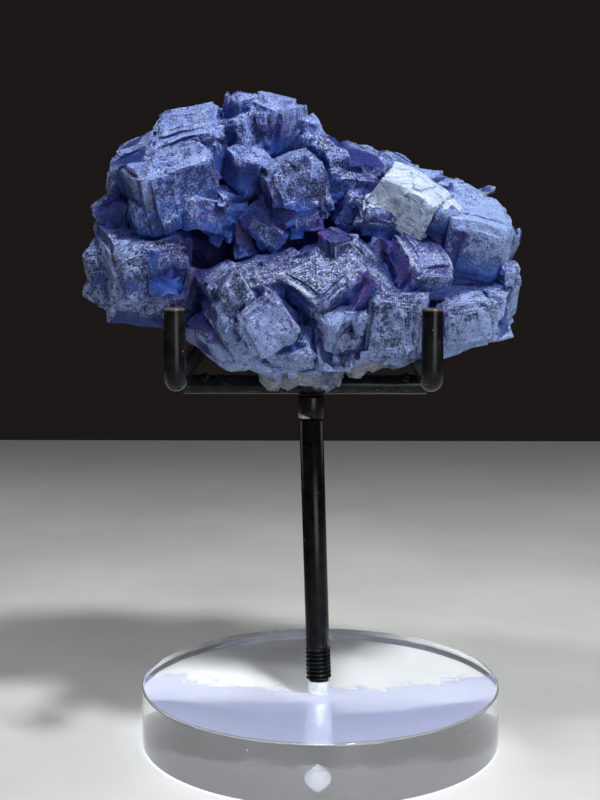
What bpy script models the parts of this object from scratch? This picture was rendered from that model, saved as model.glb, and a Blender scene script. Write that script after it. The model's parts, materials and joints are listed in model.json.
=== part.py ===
"""Raw fluorite on a display stand: a cluster of intergrown cubes held by a black
forked cradle, on a threaded stem in a clear disc. Run with Blender 4.5."""

import math
import random
from collections import namedtuple

import bmesh
import bpy
from mathutils import Euler, Matrix, Vector

MM = 0.001

# Driving dimensions, in millimetres. The origin is the centre of the disc's underside,
# X runs to the right as the stone is looked at, Y away from the viewer and Z up.
GAP = 0.3

DISC_DIAMETER = 76.0
DISC_HEIGHT = 12.7
DISC_CHAMFER = 0.5
DISC_SIDES = 64
HOLE_DIAMETER = 4.8
HOLE_DEPTH = 10.2
HOLE_CONE = 1.1
HOLE_SIDES = 20
DRILL_CLEAR = 1.0

STEM_DIAMETER = 5.0
STEM_TIP_DIAMETER = 4.1
STEM_IN_HOLE = 3.3
STEM_FOOT_X = -0.3
STEM_HEAD_X = -2.0
STEM_HEAD_Z = 69.0
THREAD_DIAMETER = 5.4
THREAD_ROOT = 4.5
THREAD_LENGTH = 7.2
THREAD_TURNS = 8
THREAD_SIDES = 14
THREAD_ROWS = 3
SHOULDER_GAP = 0.45
SHOULDER_EDGE = 0.01

SOCKET_DIAMETER = 5.4
SOCKET_CHAMFER = 0.35
SOCKET_SIDES = 20

ROD_DIAMETER = 4.0
ROD_BEVEL_RESOLUTION = 4
BAR_HEIGHT = 76.3
BAR_OVERHANG = 1.2
ARM_HEIGHT = BAR_HEIGHT + ROD_DIAMETER + GAP
LEFT_ARM_X = -27.4
RIGHT_ARM_X = 20.9
ARM_FRONT_Y = -30.0
ARM_REAR_Y = 25.0
PRONG_TOP = 94.5
ELBOW_RADIUS = 2.4
ELBOW_STEPS = 5
BAR_SIDES = 16
CLEARANCE_SIDES = 12
CLEARANCE_OVERLAP = 1.5
SHARP_ANGLE = 40
LEVEL = 1e-6

# Beads of weld on the crossbar: each a centre and a size.
BEADS = (
    ((STEM_HEAD_X + 0.4, -1.3, BAR_HEIGHT - 0.3), (6.4, 2.4, 2.4)),
    ((LEFT_ARM_X + 3.3, -0.4, BAR_HEIGHT + 1.2), (2.4, 3.2, 2.2)),
    ((RIGHT_ARM_X - 3.3, -0.4, BAR_HEIGHT + 1.2), (2.4, 3.2, 2.2)),
)

# How the cubes and the rock are finished. Bevels and treads are parts of an edge.
CRYSTAL_BEVEL = 0.09
ROUNDED_BEVEL = 0.18
SMALLEST_BEVELLED = 6.0
STEP_HEIGHT = 0.55
STEP_TREAD = (0.12, 0.2)
STEP_OFFSET = 0.45
LUMP_ROUGHNESS = 0.16
LUMP_SQUARENESS = 0.7
BEAD_ROUGHNESS = 0.12
SLIVERS_KEPT = 0.86
SEED = 11

# A crystal's place is its centre and its size its three edges. It is spun about its own
# upright axis, then tilted so that its top leans to the viewer, then rolled clockwise
# in the viewer's picture. Steps are the growth plates that stand on its faces.
Crystal = namedtuple("Crystal", "name at size spin tilt roll steps", defaults=(0,))

UPPER_LEFT = (
    Crystal("big shoulder cube", (-30.5, -6.5, 117.3), (15, 16, 14), 24, 22, -12, 1),
    Crystal("shoulder left cube", (-36.0, -3.0, 120.5), (9.5, 12, 10), -16, 20, -28),
    Crystal("shoulder lower left cube", (-34.2, -8.5, 111.4), (8, 10, 7), 8, 6, -6),
    Crystal("shoulder lower right cube", (-25.2, -8.0, 111.8), (8, 10, 7), 30, 10, 8),
    Crystal("crown block", (-26.5, 0.0, 126.6), (13, 13, 8.5), -8, 28, -14, 1),
    Crystal("crown lower block", (-25.5, -3.5, 122.6), (9, 9, 6.5), 20, 16, -10),
    Crystal("crown rear block", (-24.0, 9.0, 126.0), (12, 12, 11), 30, 0, -6),
    Crystal("summit button", (-16.2, -2.0, 133.1), (5.4, 5.4, 5.4), 40, 28, 8),
    Crystal("summit cube", (-10.0, -1.0, 129.0), (7.2, 9, 11), -28, 12, 12, 1),
    Crystal("summit rear cube", (-13.6, 4.5, 129.4), (9.5, 10, 7.5), 18, 8, -8),
    Crystal("summit side facet", (-5.6, 3.5, 126.8), (6.5, 9, 10), 12, 10, 24),
    Crystal("crown gap cube", (-17.2, -1.5, 126.6), (7, 9, 9), 48, 16, -18),
    Crystal("ledge outer cube", (-42.4, -0.8, 111.2), (7, 9, 7), 18, 20, -28),
    Crystal("ledge inner cube", (-40.4, -3.0, 110.9), (6, 8, 8), -22, 16, 16),
    Crystal("ledge upper cube", (-40.2, -0.4, 117.0), (5, 7, 5), 30, 20, 10),
)

LEFT_LOBE = (
    Crystal("lobe main cube", (-36.2, -4.5, 102.4), (15.5, 16, 13), 18, 22, -3, 1),
    Crystal("lobe left cube", (-42.4, -2.0, 102.0), (9, 12, 10), -12, 20, -8),
    Crystal("lobe lower cube", (-37.0, -3.0, 95.0), (12, 13, 11), 10, 12, 8),
    Crystal("lobe lower left cube", (-42.0, -1.5, 97.2), (8, 11, 8), -20, 10, 24),
    Crystal("lobe inner cube", (-33.2, -8.8, 100.6), (7, 9, 10), 30, 10, -8),
    Crystal("lobe top plate", (-34.8, -3.2, 106.4), (13, 13, 5), 6, 25, 2),
    Crystal("neck cube", (-27.0, -3.0, 97.6), (9, 12, 9), 40, 12, 20),
    Crystal("neck low cube", (-27.6, 0.0, 92.0), (8, 12, 7), 15, 0, -12),
)

CENTRE_TOP = (
    Crystal("corner cube", (-14.6, -7.2, 120.4), (7.5, 8, 7.5), 38, 22, 15),
    Crystal("dark face cube", (-5.6, -9.4, 116.6), (10.5, 12, 11), 12, 12, -14, 1),
    Crystal("dark cube foot", (-3.2, -9.8, 110.7), (5.5, 8, 4), 12, 10, -5),
    Crystal("dark cube side", (-10.0, -8.0, 112.9), (6, 8, 6), 40, 18, 28),
    Crystal("sparkling upright", (-19.5, -6.5, 112.0), (5.5, 8, 9), 35, 15, 8),
    Crystal("slanting bar", (-10.7, -9.8, 109.7), (9.6, 8, 5), 0, 20, 38),
    Crystal("hanging post", (-15.5, -7.5, 106.9), (3.4, 6, 6), 15, 6, -5),
    Crystal("glassy ridge cube", (-1.8, 3.0, 123.8), (7, 9, 7.5), -16, 10, 12),
    Crystal("glassy upper cube", (1.6, 0.0, 121.6), (6.5, 9, 6.5), 30, 20, -5),
    Crystal("glassy lower cube", (2.8, -3.6, 117.5), (5.5, 8, 7), 14, 20, 20),
    Crystal("ridge long cube", (5.6, 3.0, 121.3), (11, 12, 8), 10, 14, 16),
    Crystal("ridge right cube", (10.6, 2.0, 119.6), (7.5, 11, 7), -15, 14, 30),
    Crystal("ridge small cube", (8.4, -4.0, 116.8), (5, 6, 5), 22, 20, 10),
    Crystal("ridge foot cube", (5.8, -4.6, 112.3), (7, 9, 8), 20, 6, 30),
)

CENTRE_LOW = (
    Crystal("big stepped cube", (-14.5, -13.0, 93.0), (13.5, 16, 12.5), 6, 14, -33),
    Crystal("stepped cube face", (-11.2, -19.6, 90.8), (8.2, 12, 8), 6, 14, -33, 1),
    Crystal("stepped cube shoulder", (-16.8, -18.0, 96.5), (6, 10, 6), 6, 14, -33),
    Crystal("stepped cube flank", (-17.6, -15.4, 90.4), (6, 10, 11), 6, 14, -33),
    Crystal("stepped cube strip", (-19.8, -13.4, 98.7), (7.5, 9, 4), 6, 18, -28),
    Crystal("rough cap cube", (-11.8, -15.4, 98.7), (8.5, 10, 6), 20, 24, -12),
    Crystal("lower left flank", (-19.4, -8.0, 87.6), (12, 15, 11), 18, -10, 38),
    Crystal("lower left foot", (-13.5, -6.0, 84.2), (11, 13, 8), 10, -14, 20),
    Crystal("bright lower face", (-5.5, -12.4, 84.6), (9.5, 13, 7), -15, -24, 10),
    Crystal("flat diamond", (-0.5, -15.4, 98.8), (12, 12, 6.5), 45, 42, 0, 1),
    Crystal("flat diamond right", (5.5, -14.8, 99.4), (7, 8, 6), 45, 42, 12),
    Crystal("flat diamond left", (-6.6, -13.8, 100.4), (6, 7, 6), 35, 35, -8),
    Crystal("diamond top cube", (2.8, -13.8, 105.7), (5.2, 5.6, 5.2), 40, 22, 5),
    Crystal("narrow plate", (8.1, -14.2, 103.4), (7.5, 5, 2.6), 0, 20, 42),
    Crystal("rough dark cube", (11.6, -7.0, 104.2), (7, 9, 7), 20, 10, 20),
    Crystal("bright wedge", (9.6, -15.8, 97.0), (5.5, 9, 8), 30, 20, 42),
    Crystal("corner facet cube", (1.9, -15.4, 91.0), (9, 11, 9), 45, 32, 8),
    Crystal("corner facet right", (8.3, -15.4, 91.2), (7.5, 10, 7.5), 30, 28, -10),
    Crystal("dark step", (6.8, -14.8, 88.0), (8, 9, 3), 8, 12, -5),
    Crystal("blue lower block", (9.2, -11.0, 85.2), (11.5, 13, 5.5), -5, -5, -3),
    Crystal("lower middle block", (1.6, -11.8, 84.4), (8, 12, 7), 20, 0, -5),
    Crystal("tall face cube", (15.5, -15.4, 90.6), (8.5, 14, 13.5), -12, 8, 3, 1),
    Crystal("lip far right", (17.6, -4.0, 85.6), (10, 16, 6), 8, 0, -12),
)

RIGHT_SIDE = (
    Crystal("white plate", (17.0, -10.8, 114.0), (12.5, 8, 10), -8, 30, 30),
    Crystal("plate foot cube", (12.0, -8.8, 110.6), (8.5, 9, 6), 14, 20, 18),
    Crystal("peak cube", (15.8, 0.2, 119.7), (7, 10, 5.5), 40, 10, 25),
    Crystal("violet round", (24.0, -11.0, 111.0), (6.4, 6.4, 6.4), 40, 25, 15),
    Crystal("slope upper cube", (21.6, 1.2, 116.2), (10, 12, 7), 20, 14, 12),
    Crystal("slope middle cube", (28.2, 3.0, 113.6), (10.5, 13, 8), -10, 14, 22),
    Crystal("slope lower cube", (33.4, 4.0, 109.6), (9, 12, 8), 15, 10, 38),
    Crystal("big rough cube", (29.4, -4.0, 106.6), (13.5, 15, 13.5), 12, 20, 14, 1),
    Crystal("right edge cube", (35.4, 2.0, 105.8), (8.5, 13, 10), -18, 10, 32),
    Crystal("right edge button", (37.6, -5.4, 99.8), (4.4, 4.4, 4.4), 30, 20, 0),
    Crystal("under cube", (27.6, -4.0, 100.8), (9, 10, 6), 20, 10, 5),
    Crystal("glowing corner cube", (19.0, -14.0, 101.0), (8.5, 11, 8), 30, 25, 22, 1),
    Crystal("right low cube", (27.2, -9.0, 92.3), (10.5, 13, 8), 12, 20, -3, 1),
    Crystal("right foot block", (27.2, -4.0, 87.0), (12, 14, 7), -5, 0, -8),
    Crystal("far right cube", (34.4, -2.0, 94.2), (8.5, 13, 8.5), -20, 12, 5),
    Crystal("right rim block", (31.2, 1.0, 88.2), (13, 16, 7.5), 6, 0, -14),
    Crystal("right rim corner", (33.8, 1.0, 90.6), (8.5, 14, 8.5), -8, 0, -26),
)

REAR = (
    Crystal("rear crown cube", (-30.0, 13.0, 122.0), (9, 9, 9), 20, -20, 10),
    Crystal("rear summit cube", (-16.0, 13.0, 126.0), (8, 8, 9), -25, -18, -6),
    Crystal("rear ridge cube", (-5.0, 13.5, 121.5), (10, 9, 9), 15, -22, 14),
    Crystal("rear ridge small cube", (4.0, 14.0, 118.0), (7, 8, 7), 38, -15, 5),
    Crystal("rear slope cube", (14.0, 13.0, 115.0), (9, 9, 9), -18, -20, 20),
    Crystal("rear slope low cube", (25.0, 13.0, 110.0), (9, 9, 8), 24, -20, 18),
    Crystal("rear right cube", (34.5, 10.5, 102.0), (8, 9, 9), -12, -12, 30),
    Crystal("rear right low cube", (34.0, 9.0, 93.0), (9, 9, 8), 20, -5, -20),
    Crystal("rear left cube", (-41.0, 9.0, 110.0), (8, 9, 9), 28, -14, -24),
    Crystal("rear lobe cube", (-44.0, 8.0, 101.0), (8, 9, 9), -15, -8, -6),
    Crystal("rear lobe low cube", (-41.5, 8.0, 94.5), (8, 9, 8), 18, 0, 20),
    Crystal("back left crystal", (-31.0, 19.0, 111.0), (8, 7, 8), 30, -10, 18),
    Crystal("back middle crystal", (-12.0, 21.0, 115.0), (9, 8, 8), -20, -14, -10),
    Crystal("back right crystal", (8.0, 21.5, 110.0), (9, 8, 9), 25, -12, 24),
    Crystal("back slope crystal", (22.0, 18.5, 104.0), (8, 7, 7), -30, -8, 8),
    Crystal("back low crystal", (-8.0, 21.0, 97.0), (8, 6, 7), 15, 0, -30),
    Crystal("back low right crystal", (14.0, 19.0, 95.0), (7, 6, 7), -22, 0, 12),
)

CRYSTALS = UPPER_LEFT + LEFT_LOBE + CENTRE_TOP + CENTRE_LOW + RIGHT_SIDE + REAR
ROUNDED = ("summit button", "violet round", "right edge button", "summit cube",
           "big shoulder cube", "lower left flank")

# Broken rock that the cubes grew on. It shows at the back, along the bottom and deep in
# the cavity below the shoulder. Each lump is a centre, a size and a roll.
Lump = namedtuple("Lump", "at size roll rough", defaults=(2,))

ROCK = (
    Lump((-4.0, -4.5, 81.2), (19, 13, 9), 4),
    Lump((10.0, -3.5, 83.6), (20, 15, 8), -10),
    Lump((-22.0, 10.0, 116.0), (30, 18, 20), -6, 1),
    Lump((-14.0, 9.0, 124.0), (22, 16, 14), 0, 1),
    Lump((4.0, 10.0, 111.0), (34, 20, 20), 14, 1),
    Lump((23.0, 8.0, 104.0), (28, 22, 20), 20, 1),
    Lump((-2.0, 3.0, 91.0), (40, 26, 19), 0),
    Lump((-36.5, 6.0, 101.5), (18, 18, 19), 0, 1),
    Lump((26.0, 5.0, 93.5), (22, 20, 14), -8, 1),
    Lump((-24.0, 9.0, 101.0), (20, 16, 22), 0, 1),
    Lump((-6.0, 8.0, 103.5), (26, 13, 15), 4, 1),
    Lump((-33.0, 13.0, 104.0), (20, 13, 20), -12),
    Lump((-14.0, 15.0, 108.0), (24, 14, 22), 8),
    Lump((4.0, 16.0, 103.0), (24, 14, 22), 16),
    Lump((20.0, 14.0, 99.0), (24, 14, 18), 10),
    Lump((-10.0, 14.0, 92.0), (26, 13, 14), 0),
    Lump((10.0, 13.0, 90.5), (24, 13, 13), -4),
)


def make_material(name, colour, roughness, metallic=0.0, transmission=0.0):
    material = bpy.data.materials.new(name)
    material.use_nodes = True
    shader = material.node_tree.nodes["Principled BSDF"]
    shader.inputs["Base Color"].default_value = (*colour, 1.0)
    shader.inputs["Roughness"].default_value = roughness
    shader.inputs["Metallic"].default_value = metallic
    shader.inputs["Transmission Weight"].default_value = transmission
    material.diffuse_color = (*colour, 1.0)
    return material


def add_object(name, data, material=None):
    made = bpy.data.objects.new(name, data)
    bpy.context.scene.collection.objects.link(made)
    if material is not None:
        data.materials.append(material)
    return made


def mesh_object(name, bm, material=None, smooth_angle=None):
    bmesh.ops.recalc_face_normals(bm, faces=bm.faces)
    mesh = bpy.data.meshes.new(name)
    bm.to_mesh(mesh)
    bm.free()
    made = add_object(name, mesh, material)
    if smooth_angle is not None:
        mesh.shade_smooth()
        mesh.set_sharp_from_angle(angle=math.radians(smooth_angle))
    return made


def hide_guide(guide):
    guide.hide_render = True
    guide.display_type = "WIRE"
    return guide


def cut(target, name, operation, tool, joins_itself=False):
    modifier = target.modifiers.new(name, "BOOLEAN")
    modifier.operation = operation
    modifier.solver = "EXACT"
    modifier.object = tool
    modifier.use_self = joins_itself
    return modifier


def crystal_turn(spin, tilt, roll):
    """Spin about Z first, then tilt about X, then roll about Y."""
    angles = (math.radians(tilt), math.radians(roll), math.radians(spin))
    return Euler(angles, "ZXY").to_matrix().to_4x4()


def add_cylinder(bm, start, end, diameter, sides, longer=0.0):
    """Add one closed cylinder between two points, in millimetres."""
    first = Vector(start) * MM
    last = Vector(end) * MM
    turn = (last - first).to_track_quat("Z", "Y").to_matrix().to_4x4()
    radius = diameter / 2 * MM
    bmesh.ops.create_cone(bm, cap_ends=True, segments=sides, radius1=radius, radius2=radius,
                          depth=(last - first).length + longer * MM,
                          matrix=Matrix.Translation((first + last) / 2) @ turn)


def chamfer_rims(bm, width):
    """Bevel the edges that lie level, which are a standing cylinder's two rims."""
    rims = [edge for edge in bm.edges if abs(edge.verts[0].co.z - edge.verts[1].co.z) < LEVEL]
    bmesh.ops.bevel(bm, geom=rims, offset=width * MM, segments=1, affect="EDGES")


def add_box(bm, centre, size, turn, offset=(0, 0, 0), bevel=0.0):
    """Add one closed box, in millimetres, and bevel its edges if asked."""
    place = Matrix.Translation(Vector(centre) * MM) @ turn @ Matrix.Translation(Vector(offset) * MM)
    scale = Matrix.Diagonal((size[0] * MM, size[1] * MM, size[2] * MM, 1.0))
    made = bmesh.ops.create_cube(bm, size=1.0, matrix=place @ scale)
    if bevel > 0:
        edges = {edge for vert in made["verts"] for edge in vert.link_edges}
        bmesh.ops.bevel(bm, geom=list(edges), offset=bevel * MM, segments=1, affect="EDGES")


def add_growth_plates(bm, crystal, turn, chance):
    """Lay thin parallel plates through the cube, so that its faces rise in steps."""
    for step in range(1, crystal.steps + 1):
        for axis in range(3):
            size = [edge * (1 - step * chance.uniform(*STEP_TREAD)) for edge in crystal.size]
            shift = [(full - part) * chance.uniform(-STEP_OFFSET, STEP_OFFSET)
                     for full, part in zip(crystal.size, size)]
            size[axis] = crystal.size[axis] + 2 * STEP_HEIGHT * step
            shift[axis] = 0.0
            add_box(bm, crystal.at, size, turn, shift)


def bevel_width(crystal):
    """Worn crystals have wide bevels, and small or rear ones keep their sharp edges."""
    smallest = min(crystal.size)
    if crystal.name in ROUNDED:
        return ROUNDED_BEVEL * smallest
    if crystal in REAR or smallest < SMALLEST_BEVELLED:
        return 0.0
    return CRYSTAL_BEVEL * smallest


def build_crystals():
    """All the cubes in one mesh, still crossing each other."""
    chance = random.Random(SEED)
    bm = bmesh.new()
    for crystal in CRYSTALS:
        turn = crystal_turn(crystal.spin, crystal.tilt, crystal.roll)
        add_box(bm, crystal.at, crystal.size, turn, bevel=bevel_width(crystal))
        add_growth_plates(bm, crystal, turn, chance)
    return hide_guide(mesh_object("crystal_guide", bm))


def add_lump(bm, lump, chance):
    """Add one broken lump of rock: a coarse ball with uneven corners."""
    place = Matrix.Translation(Vector(lump.at) * MM) @ crystal_turn(0, 0, lump.roll)
    made = bmesh.ops.create_icosphere(bm, subdivisions=lump.rough, radius=0.5)
    for vert in made["verts"]:
        reach = 1 + chance.uniform(-LUMP_ROUGHNESS, LUMP_ROUGHNESS)
        squared = Vector([math.copysign(abs(2 * part) ** LUMP_SQUARENESS / 2, part) for part in vert.co])
        stretched = Vector([part * edge * MM for part, edge in zip(squared, lump.size)])
        vert.co = place @ (stretched * reach)


def build_rock(material):
    chance = random.Random(SEED)
    bm = bmesh.new()
    for lump in ROCK:
        add_lump(bm, lump, chance)
    return mesh_object("fluorite", bm, material)


def arm_path(x):
    """Centre line of a cradle arm: prong, elbow, run to the back, elbow, prong."""
    points = [(x, ARM_FRONT_Y, PRONG_TOP)]
    ends = ((ARM_FRONT_Y, 1, 180, 270), (ARM_REAR_Y, -1, 270, 360))
    for end_y, inward, start, stop in ends:
        centre_y = end_y + inward * ELBOW_RADIUS
        centre_z = ARM_HEIGHT + ELBOW_RADIUS
        for step in range(ELBOW_STEPS + 1):
            angle = math.radians(start + (stop - start) * step / ELBOW_STEPS)
            points.append((x, centre_y + ELBOW_RADIUS * math.cos(angle),
                           centre_z + ELBOW_RADIUS * math.sin(angle)))
    points.append((x, ARM_REAR_Y, PRONG_TOP))
    return points


def build_rod(name, points, diameter, material):
    """A round rod along a line of points, with flat closed ends."""
    curve = bpy.data.curves.new(name, "CURVE")
    curve.dimensions = "3D"
    curve.bevel_depth = diameter / 2 * MM
    curve.bevel_resolution = ROD_BEVEL_RESOLUTION
    curve.use_fill_caps = True
    spline = curve.splines.new("POLY")
    spline.points.add(len(points) - 1)
    for point, place in zip(spline.points, points):
        point.co = (*(part * MM for part in place), 1.0)
        point.radius = 1.0
    spline.use_smooth = True
    return add_object(name, curve, material)


def bar_path():
    """Centre line of the crossbar, from one end to the other."""
    return [(LEFT_ARM_X - BAR_OVERHANG, 0, BAR_HEIGHT), (RIGHT_ARM_X + BAR_OVERHANG, 0, BAR_HEIGHT)]


def add_bead(bm, at, size, chance):
    """Add one uneven bead of weld."""
    made = bmesh.ops.create_icosphere(bm, subdivisions=1, radius=0.5)
    for vert in made["verts"]:
        reach = 1 + chance.uniform(-BEAD_ROUGHNESS, BEAD_ROUGHNESS)
        vert.co = Vector([part * edge * reach + centre for part, edge, centre in zip(vert.co, size, at)]) * MM


def build_crossbar(material):
    """The straight rod that carries both arms, with its beads of weld."""
    chance = random.Random(SEED)
    bm = bmesh.new()
    add_cylinder(bm, *bar_path(), ROD_DIAMETER, BAR_SIDES)
    crossbar = mesh_object("crossbar", bm, material, SHARP_ANGLE)
    beads = bmesh.new()
    for at, size in BEADS:
        add_bead(beads, at, size, chance)
    cut(crossbar, "weld beads", "UNION", hide_guide(mesh_object("bead_guide", beads)), True)
    return crossbar


def cradle_clearance():
    """The room that the stone leaves for the rods it lies on."""
    bm = bmesh.new()
    width = ROD_DIAMETER + 2 * GAP
    for points in (arm_path(LEFT_ARM_X), arm_path(RIGHT_ARM_X), bar_path()):
        for start, end in zip(points, points[1:]):
            add_cylinder(bm, start, end, width, CLEARANCE_SIDES, longer=CLEARANCE_OVERLAP)
    for at, size in BEADS:
        room = [edge * (1 + 2 * BEAD_ROUGHNESS) + 2 * GAP for edge in size]
        place = Matrix.Translation(Vector(at) * MM) @ Matrix.Diagonal((*(edge * MM for edge in room), 1.0))
        bmesh.ops.create_icosphere(bm, subdivisions=2, radius=0.5, matrix=place)
    return hide_guide(mesh_object("clearance_guide", bm))


def stem_radius(height, turn, foot, head):
    """Radius of the threaded stem at a height in mm and at a part of a turn."""
    if not foot <= height <= head:
        return STEM_DIAMETER / 2
    pitch = THREAD_LENGTH / THREAD_TURNS
    phase = ((height - foot) / pitch - turn) % 1.0
    ridge = 1 - abs(2 * phase - 1)
    return (THREAD_ROOT + (THREAD_DIAMETER - THREAD_ROOT) * ridge) / 2


def build_stem(material):
    """A leaning round rod, threaded at its foot, with a thinner end in the disc's hole."""
    foot = DISC_HEIGHT + SHOULDER_GAP
    head = foot + THREAD_LENGTH
    count = THREAD_TURNS * THREAD_ROWS
    rows = [DISC_HEIGHT - STEM_IN_HOLE, foot - SHOULDER_EDGE]
    rows += [foot + THREAD_LENGTH * (step + 0.5) / count for step in range(count)]
    rows += [head + SHOULDER_GAP, STEM_HEAD_Z]
    lean = (STEM_HEAD_X - STEM_FOOT_X) / (STEM_HEAD_Z - DISC_HEIGHT)
    bm = bmesh.new()
    rings = []
    for height in rows:
        ring = []
        for side in range(THREAD_SIDES):
            turn = side / THREAD_SIDES
            radius = stem_radius(height, turn, foot, head)
            if height < foot:
                radius = STEM_TIP_DIAMETER / 2
            x = STEM_FOOT_X + lean * (height - DISC_HEIGHT) + radius * math.cos(2 * math.pi * turn)
            y = radius * math.sin(2 * math.pi * turn)
            ring.append(bm.verts.new((x * MM, y * MM, height * MM)))
        rings.append(ring)
    for lower, upper in zip(rings, rings[1:]):
        for side in range(THREAD_SIDES):
            after = (side + 1) % THREAD_SIDES
            bm.faces.new((lower[side], lower[after], upper[after], upper[side]))
    bm.faces.new(reversed(rings[0]))
    bm.faces.new(rings[-1])
    return mesh_object("stem", bm, material, SHARP_ANGLE)


def build_socket(material):
    """The short sleeve that joins the stem to the crossbar."""
    bm = bmesh.new()
    bottom = (STEM_HEAD_X, 0, STEM_HEAD_Z + GAP)
    top = (STEM_HEAD_X, 0, BAR_HEIGHT - ROD_DIAMETER / 2 - GAP)
    add_cylinder(bm, bottom, top, SOCKET_DIAMETER, SOCKET_SIDES)
    chamfer_rims(bm, SOCKET_CHAMFER)
    return mesh_object("socket", bm, material, SHARP_ANGLE)


def drilled_hole():
    """The drill's shape: a straight bore that ends in a cone."""
    bm = bmesh.new()
    mouth = (STEM_FOOT_X, 0, DISC_HEIGHT + DRILL_CLEAR)
    end = (STEM_FOOT_X, 0, DISC_HEIGHT - HOLE_DEPTH)
    add_cylinder(bm, end, mouth, HOLE_DIAMETER, HOLE_SIDES)
    floor = min(bm.faces, key=lambda face: face.calc_center_median().z)
    tip = bmesh.ops.poke(bm, faces=[floor])["verts"][0]
    tip.co.z -= HOLE_CONE * MM
    return hide_guide(mesh_object("drill_guide", bm))


def build_disc(material):
    """The clear base: a thick disc with small chamfers and a blind hole from the top."""
    bm = bmesh.new()
    add_cylinder(bm, (0, 0, 0), (0, 0, DISC_HEIGHT), DISC_DIAMETER, DISC_SIDES)
    chamfer_rims(bm, DISC_CHAMFER)
    disc = mesh_object("acrylic_base", bm, material, SHARP_ANGLE)
    cut(disc, "drilled hole", "DIFFERENCE", drilled_hole())
    return disc


def connected_faces(start):
    """All the faces of the shell that a face belongs to."""
    found = {start}
    waiting = [start]
    while waiting:
        face = waiting.pop()
        for edge in face.edges:
            fresh = [other for other in edge.link_faces if other not in found]
            found.update(fresh)
            waiting.extend(fresh)
    return found


def keep_outer_skin(bm):
    """Drop the small pockets that the crossing cubes seal off inside the stone."""
    remaining = set(bm.faces)
    shells = []
    while remaining:
        shell = connected_faces(next(iter(remaining)))
        shells.append(shell)
        remaining -= shell
    shells.sort(key=len)
    pockets = [face for shell in shells[:-1] for face in shell]
    bmesh.ops.delete(bm, geom=pockets, context="FACES")


def settle(stone):
    """Turn the stone's modifiers into its mesh, as one closed skin."""
    evaluated = stone.evaluated_get(bpy.context.evaluated_depsgraph_get())
    bm = bmesh.new()
    bm.from_mesh(bpy.data.meshes.new_from_object(evaluated))
    keep_outer_skin(bm)
    stone.modifiers.clear()
    bm.to_mesh(stone.data)
    bm.free()


def build_stone(material):
    stone = build_rock(material)
    cut(stone, "crystals grown together", "UNION", build_crystals(), True)
    cut(stone, "room for the cradle", "DIFFERENCE", cradle_clearance(), True)
    thinned = stone.modifiers.new("fewer slivers", "DECIMATE")
    thinned.ratio = SLIVERS_KEPT
    settle(stone)
    return stone


def build():
    for old in list(bpy.data.objects):
        bpy.data.objects.remove(old)
    blue = make_material("frosted blue violet crystal", (0.13, 0.14, 0.36), 0.35, transmission=0.4)
    black = make_material("black satin metal", (0.014, 0.014, 0.016), 0.38, metallic=0.6)
    clear = make_material("clear acrylic", (0.95, 0.95, 0.97), 0.05, transmission=1.0)
    build_stone(blue)
    build_rod("left_arm", arm_path(LEFT_ARM_X), ROD_DIAMETER, black)
    build_rod("right_arm", arm_path(RIGHT_ARM_X), ROD_DIAMETER, black)
    build_crossbar(black)
    build_socket(black)
    build_stem(black)
    build_disc(clear)


build()
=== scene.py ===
# %% [markdown]
# # Raw fluorite on a display stand
# The real thing is a natural cluster of blue and violet fluorite cubes, about nine
# centimetres wide. It lies in a black forked cradle, on a threaded stem that stands in a
# clear disc. The solids of all this are already modelled and packed. This lesson dresses
# them: it adds the fine growth steps and chips of the stone, the turned detail of the
# stand, and a material for each finish. Everything is in metres, in the frame of the
# solids, so each new part goes exactly where its solid is.

# %% Load the solids
import json
import math
import random

import bmesh
import bpy
import numpy as np
from mathutils import Euler, Matrix, Vector, noise
from mathutils.bvhtree import BVHTree

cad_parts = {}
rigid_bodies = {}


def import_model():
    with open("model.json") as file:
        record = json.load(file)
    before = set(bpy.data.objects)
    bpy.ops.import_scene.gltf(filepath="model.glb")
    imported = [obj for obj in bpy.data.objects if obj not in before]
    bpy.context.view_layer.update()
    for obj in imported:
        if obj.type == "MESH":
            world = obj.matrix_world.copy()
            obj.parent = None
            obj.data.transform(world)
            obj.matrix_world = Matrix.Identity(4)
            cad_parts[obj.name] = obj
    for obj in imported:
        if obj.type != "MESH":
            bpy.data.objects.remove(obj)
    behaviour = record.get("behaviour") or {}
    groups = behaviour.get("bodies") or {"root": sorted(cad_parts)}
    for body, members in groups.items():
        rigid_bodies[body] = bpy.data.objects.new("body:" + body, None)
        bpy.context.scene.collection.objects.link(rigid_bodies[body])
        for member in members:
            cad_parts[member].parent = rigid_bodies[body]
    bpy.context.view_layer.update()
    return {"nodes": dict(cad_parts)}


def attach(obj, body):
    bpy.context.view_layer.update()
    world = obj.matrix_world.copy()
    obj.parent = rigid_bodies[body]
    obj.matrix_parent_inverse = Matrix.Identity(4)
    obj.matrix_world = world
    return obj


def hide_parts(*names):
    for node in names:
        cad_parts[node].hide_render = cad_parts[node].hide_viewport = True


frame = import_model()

MM = 0.001
print("solids:", sorted(frame["nodes"]))

# %% [markdown]
# ## The camera
# The photograph was taken from a little above, with the camera almost square to the
# stone. The horizon, the ellipse of the disc and the lean of the stem give its height,
# its downward pitch and its small turn to the left. A long lens keeps the disc and the
# stone in the right proportion to each other, so it matters more than any other number.

# %% Camera at the photograph's angle
CAMERA_PLACE = (0.0, -0.3098, 0.1161)
CAMERA_PITCH = math.radians(7.92)
CAMERA_YAW = math.radians(-0.80)
CAMERA_LENS = 67.5


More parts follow.
